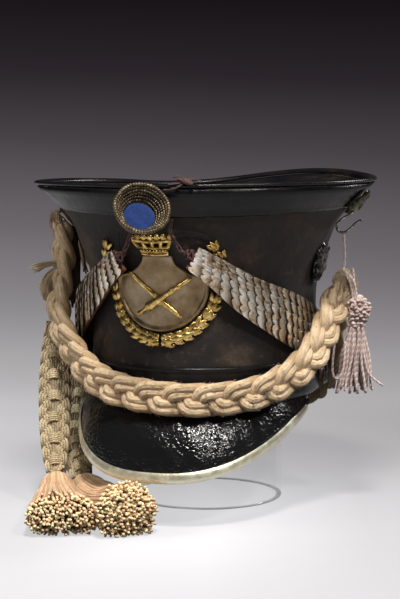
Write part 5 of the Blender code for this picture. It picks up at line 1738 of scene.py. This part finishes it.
def make_plain_cord(node, points, look):
    """Carrying cord of three twisted strands along the source's route."""
    count = int(route_length(smooth_route(points, 60)) / CORD_STEP)
    path = smooth_route(points, max(count, 12))
    across, other = winding(path)
    turn = np.arange(len(path)) * CORD_STEP * 1.15
    builder = Builder()
    for k in range(3):
        wind = swung(across, other, turn + k * math.tau / 3)
        builder.tube(path + wind * CORD_RADIUS * 0.46, CORD_RADIUS * 0.56, 6, tint=RANDOM.uniform(0.95, 1.08))
    builder.dress(node, look)


def make_hook_cord():
    """Thin doubled cord from the right hook that passes over the plait's end and down its right side."""
    builder = Builder()
    path = smooth_route(HOOK_CORD, 50)
    turn = np.linspace(0.0, 1.0, 50) * math.pi * 4.0
    for hand in (-0.5, 0.5):
        builder.tube(path + np.stack([np.sin(turn), np.cos(turn), 0 * turn], -1) * hand, 0.55)
    end = np.array(HOOK_CORD[-1])
    for shift, rise in ((-1.6, 0.0), (0.0, 0.8), (1.5, -0.4)):
        away = np.array(((0.0, 0.0, 1.0), (0.8 + shift, -5.0, -1.0 + rise), (6.4 + shift, -6.6, -6.0 + rise),
                         (8.8 + shift, -4.0, -16.0), (10.0 + shift, -3.0, -28.0)))
        rope(builder, smooth_route(end + away, 60), 0.95, 3.4, 1.15)
    for shift in (-5.0, -2.6):
        away = np.array(((0.0, 0.0, 0.0), (shift, -5.4, -2.6), (shift * 1.5, -6.0, -9.0)))
        rope(builder, smooth_route(end + away, 30), 0.8, 3.2, 1.1)
    builder.dress("hook_cord_right", "pink_cord")


def make_thong(label, table, string, count, thick):
    """Leather thong of three strands with its knot, and a thin string beside it."""
    builder = Builder()
    path = smooth_route(on_table(table), 60)
    t = np.linspace(0.0, 1.0, 60)
    for turn in (0.0, 2.1, 4.2):
        width = 0.85 + 0.2 * np.sin(t * 23.0 + turn) + 0.15 * np.sin(t * 51.0)
        away = np.stack([np.sin(t * 9.0 + turn), 0.4 * np.cos(t * 9.0 + turn), 0 * t], -1)
        builder.tube(path + away * (0.5 + 1.3 * t)[:, None], width, tint=0.9)
    angle = np.linspace(0.0, math.tau, 61)
    for k in range(3):
        loop = (2.4 * np.cos(2 * angle + k), 1.2 * np.sin(3 * angle), 3.4 * np.sin(angle * 3 + 1.2 * k))
        builder.tube(path[-1] + np.stack(loop, -1) + np.array((0.0, -1.2, 1.5)), 0.8, 7, cap=False)
    builder.tube(smooth_route(on_table(string), count), thick, 6, tint=0.05)
    builder.dress("thong_" + label, "thong")


def make_rim_knot():
    """Knot of thin thongs on the rim, with loose ends."""
    height = float(rim_height(KNOT_TURN))
    flat = unit(on_hat(KNOT_TURN, height, 0.0) * LEVEL) * (RIM_OUT - 2.0)
    centre = flat + np.array((0.0, -0.5, height + 1.8))
    builder = Builder()
    angle = np.linspace(0.0, math.tau, 81)
    for a, b, c in ((2, 3, 0.0), (3, 2, 1.3), (4, 3, 2.0)):
        knot = (5.2 * np.cos(a * angle + c), 2.4 * np.sin(b * angle), 1.9 * np.sin((a + b) * angle + c))
        builder.tube(centre + np.stack(knot, -1), 0.8, cap=False)
    for reach, drop, lift, thick in KNOT_ENDS:
        away = np.array(((0.0, 0.0, 0.0), (reach * 0.5, drop, lift), (reach, drop * 1.5, lift - 0.8)))
        builder.tube(smooth_route(centre + away, 16), thick, 6)
    builder.dress("rim_knot", "thong")


def make_stand():
    """Clear tube with polished, slightly rounded edges; the tint marks its grey ends."""
    top = CROWN_TOP_HEIGHT - 0.3
    outer, inner = STAND_RADIUS, STAND_RADIUS - STAND_WALL
    profile = ((inner, 1.3, 0.0), (inner, 0.6, 1.0), (inner + 0.6, 0.0, 1.0), (outer - 0.6, 0.0, 1.0),
               (outer, 0.6, 1.0), (outer, 1.3, 0.0), (outer, top - 1.0, 0.0), (outer - 0.4, top, 1.0),
               (inner + 0.4, top, 1.0), (inner, top - 1.0, 0.0))
    radius, height, grey = np.array(profile).T[..., None]
    angle = ring_angles(128)
    rows = np.stack([radius * np.cos(angle), radius * np.sin(angle), height + 0 * angle], -1)
    builder = Builder()
    builder.grid(rows, loop_rows=True, loop_columns=True, tint=grey)
    builder.dress("stand_tube", "clear")


# Room

def sweep_profile(start, radius):
    """Depth and height of a flat floor that sweeps up to a wall."""
    angle = math.pi / 2 * np.arange(33) / 32
    floor = [(depth, 0.0) for depth in (-2500.0, *np.arange(-400.0, start, 50.0))]
    sweep = np.column_stack([start + radius * np.sin(angle), radius * (1.0 - np.cos(angle))])
    return np.vstack([floor, sweep, (start + radius, 5000.0)])


def backdrop_look():
    """Matt backdrop, mostly shining by itself; the tint picks its shade."""
    look = Look("backdrop", (0.3, 0.3, 0.3), 0.9, Specular_IOR_Level=0.0, Emission_Strength=0.62)
    shade = look.ramp(look.tint(), *BACKDROP_COLOURS)
    look.colour(look.mix(1.0, shade, (0.25, 0.25, 0.25), 'MULTIPLY'))
    look.link(shade, look.shader.inputs["Emission Color"])
    return look.mat


def make_room():
    """Pale floor that sweeps up behind, with painted shade that makes it darker towards the top and to the
    right, and a painted pool of light in front of the hat.
    """
    azimuth = math.radians(CAMERA_AZIMUTH)
    away = np.array((-math.sin(azimuth), math.cos(azimuth), 0.0))
    right = np.array((math.cos(azimuth), math.sin(azimuth), 0.0))
    lens = np.array(bpy.context.scene.camera.location) / MM
    eye = np.array((lens @ away, lens[2]))
    # The shades are those of a near sweep, and the sweep itself is far enough back to walk round the hat
    near = sweep_profile(*NEAR_SWEEP)
    profile = sweep_profile(*FAR_SWEEP)
    across = np.array((-5000.0, *np.arange(-1200.0, 1201.0, 60.0), 5000.0))
    rows = (away * profile[:, None, 0:1] + right * across[None, :, None]
            + np.array((0.0, 0.0, 1.0)) * profile[:, None, 1:2])
    sight, sight_near = profile - eye, near - eye
    rise, rise_near = (np.arctan2(line[:, 1], line[:, 0]) for line in (sight, sight_near))
    along = np.interp(rise, rise_near, (near[0, 0] + distances(near)) * MM)
    closer = np.interp(rise, rise_near, np.linalg.norm(sight_near, axis=1)) / np.linalg.norm(sight, axis=1)
    lateral = np.clip(across[None, :] * closer[:, None] * MM, -0.4, 0.4)
    # Painted shade: brighter to the left and darker to the right, most strongly about 0.3 m behind the hat
    painted_side_shade = 0.22 + 0.30 * np.exp(-((along - 0.30) / 0.16) ** 2)
    shade = np.interp(along, *np.array(SWEEP_SHADES).T)
    level = shade[:, None] * (1.0 - painted_side_shade[:, None] * lateral)
    # Painted pool of light on the floor just in front of the hat
    painted_light_pool = np.exp(-((lateral + 0.02) / 0.09) ** 2 - ((along[:, None] + 0.09) / 0.17) ** 2)
    builder = Builder()
    builder.grid(rows, tint=np.clip(level + 0.15 * painted_light_pool, 0.0, 1.0))
    backdrop = builder.build("backdrop", backdrop_look())
    backdrop.visible_diffuse = False


def add_lamp(name, place, aim, size, power, colour, mirrored):
    """Soft rectangular lamp; one that is not mirrored leaves no highlight on polished leather."""
    data = bpy.data.lights.new(name, 'AREA')
    data.shape = 'RECTANGLE'
    data.size, data.size_y = size
    data.energy = power
    data.color = colour
    lamp = bpy.data.objects.new(name, data)
    lamp.location = Vector(place)
    lamp.rotation_euler = (Vector((0.0, 0.0, aim)) - Vector(place)).to_track_quat('-Z', 'Y').to_euler()
    lamp.visible_glossy = mirrored
    bpy.context.scene.collection.objects.link(lamp)


def make_lamps():
    """Six soft lamps, and a dim room."""
    for lamp in LAMPS:
        add_lamp(*lamp)
    world = bpy.data.worlds.new("room")
    world.use_nodes = True
    background = world.node_tree.nodes["Background"]
    background.inputs["Color"].default_value = (0.8, 0.78, 0.77, 1.0)
    background.inputs["Strength"].default_value = 0.055
    bpy.context.scene.world = world


make_camera()
plait("front_festoon", FRONT_FESTOON, 12.9, 0.75, 4000, loop_height=168.0)
plait("back_festoon", BACK_FESTOON, 10.3, 0.0, 1200)
make_loose_strings("festoon_tuft", TUFT_STRINGS, "braid", "festoon_tuft_look")
make_loose_strings("hook_cord_left", DARK_STRINGS_AND_SHADE, "dark_cord", "hook_strings_and_shade_left")
for oval in OVALS:
    make_oval(*oval)
for big_tassel in BIG_TASSELS:
    make_big_tassel(*big_tassel)
make_small_tassel()
make_plain_cord("oval_cord_front", FRONT_OVAL_CORD, "straw_cord")
make_plain_cord("oval_cord_rear", REAR_OVAL_CORD, "straw_cord")
make_hook_cord()
make_plain_cord("hook_cord_left", LEFT_LOOP, "braid")
make_felt()
make_crown_top()
make_rim()
make_bands()
make_peak()
make_trim()
make_shield()
make_plate_crown()
make_wreath()
make_weapons()
make_cockade()
make_cockade_cloth()
for strap_label, strap_table in (("right", RIGHT_STRAP), ("left", LEFT_STRAP)):
    make_strap(strap_label, strap_table)
    make_scales(strap_label, strap_table)
make_bosses()
for thong in THONGS:
    make_thong(*thong)
make_rim_knot()
make_stand()
make_room()
make_lamps()
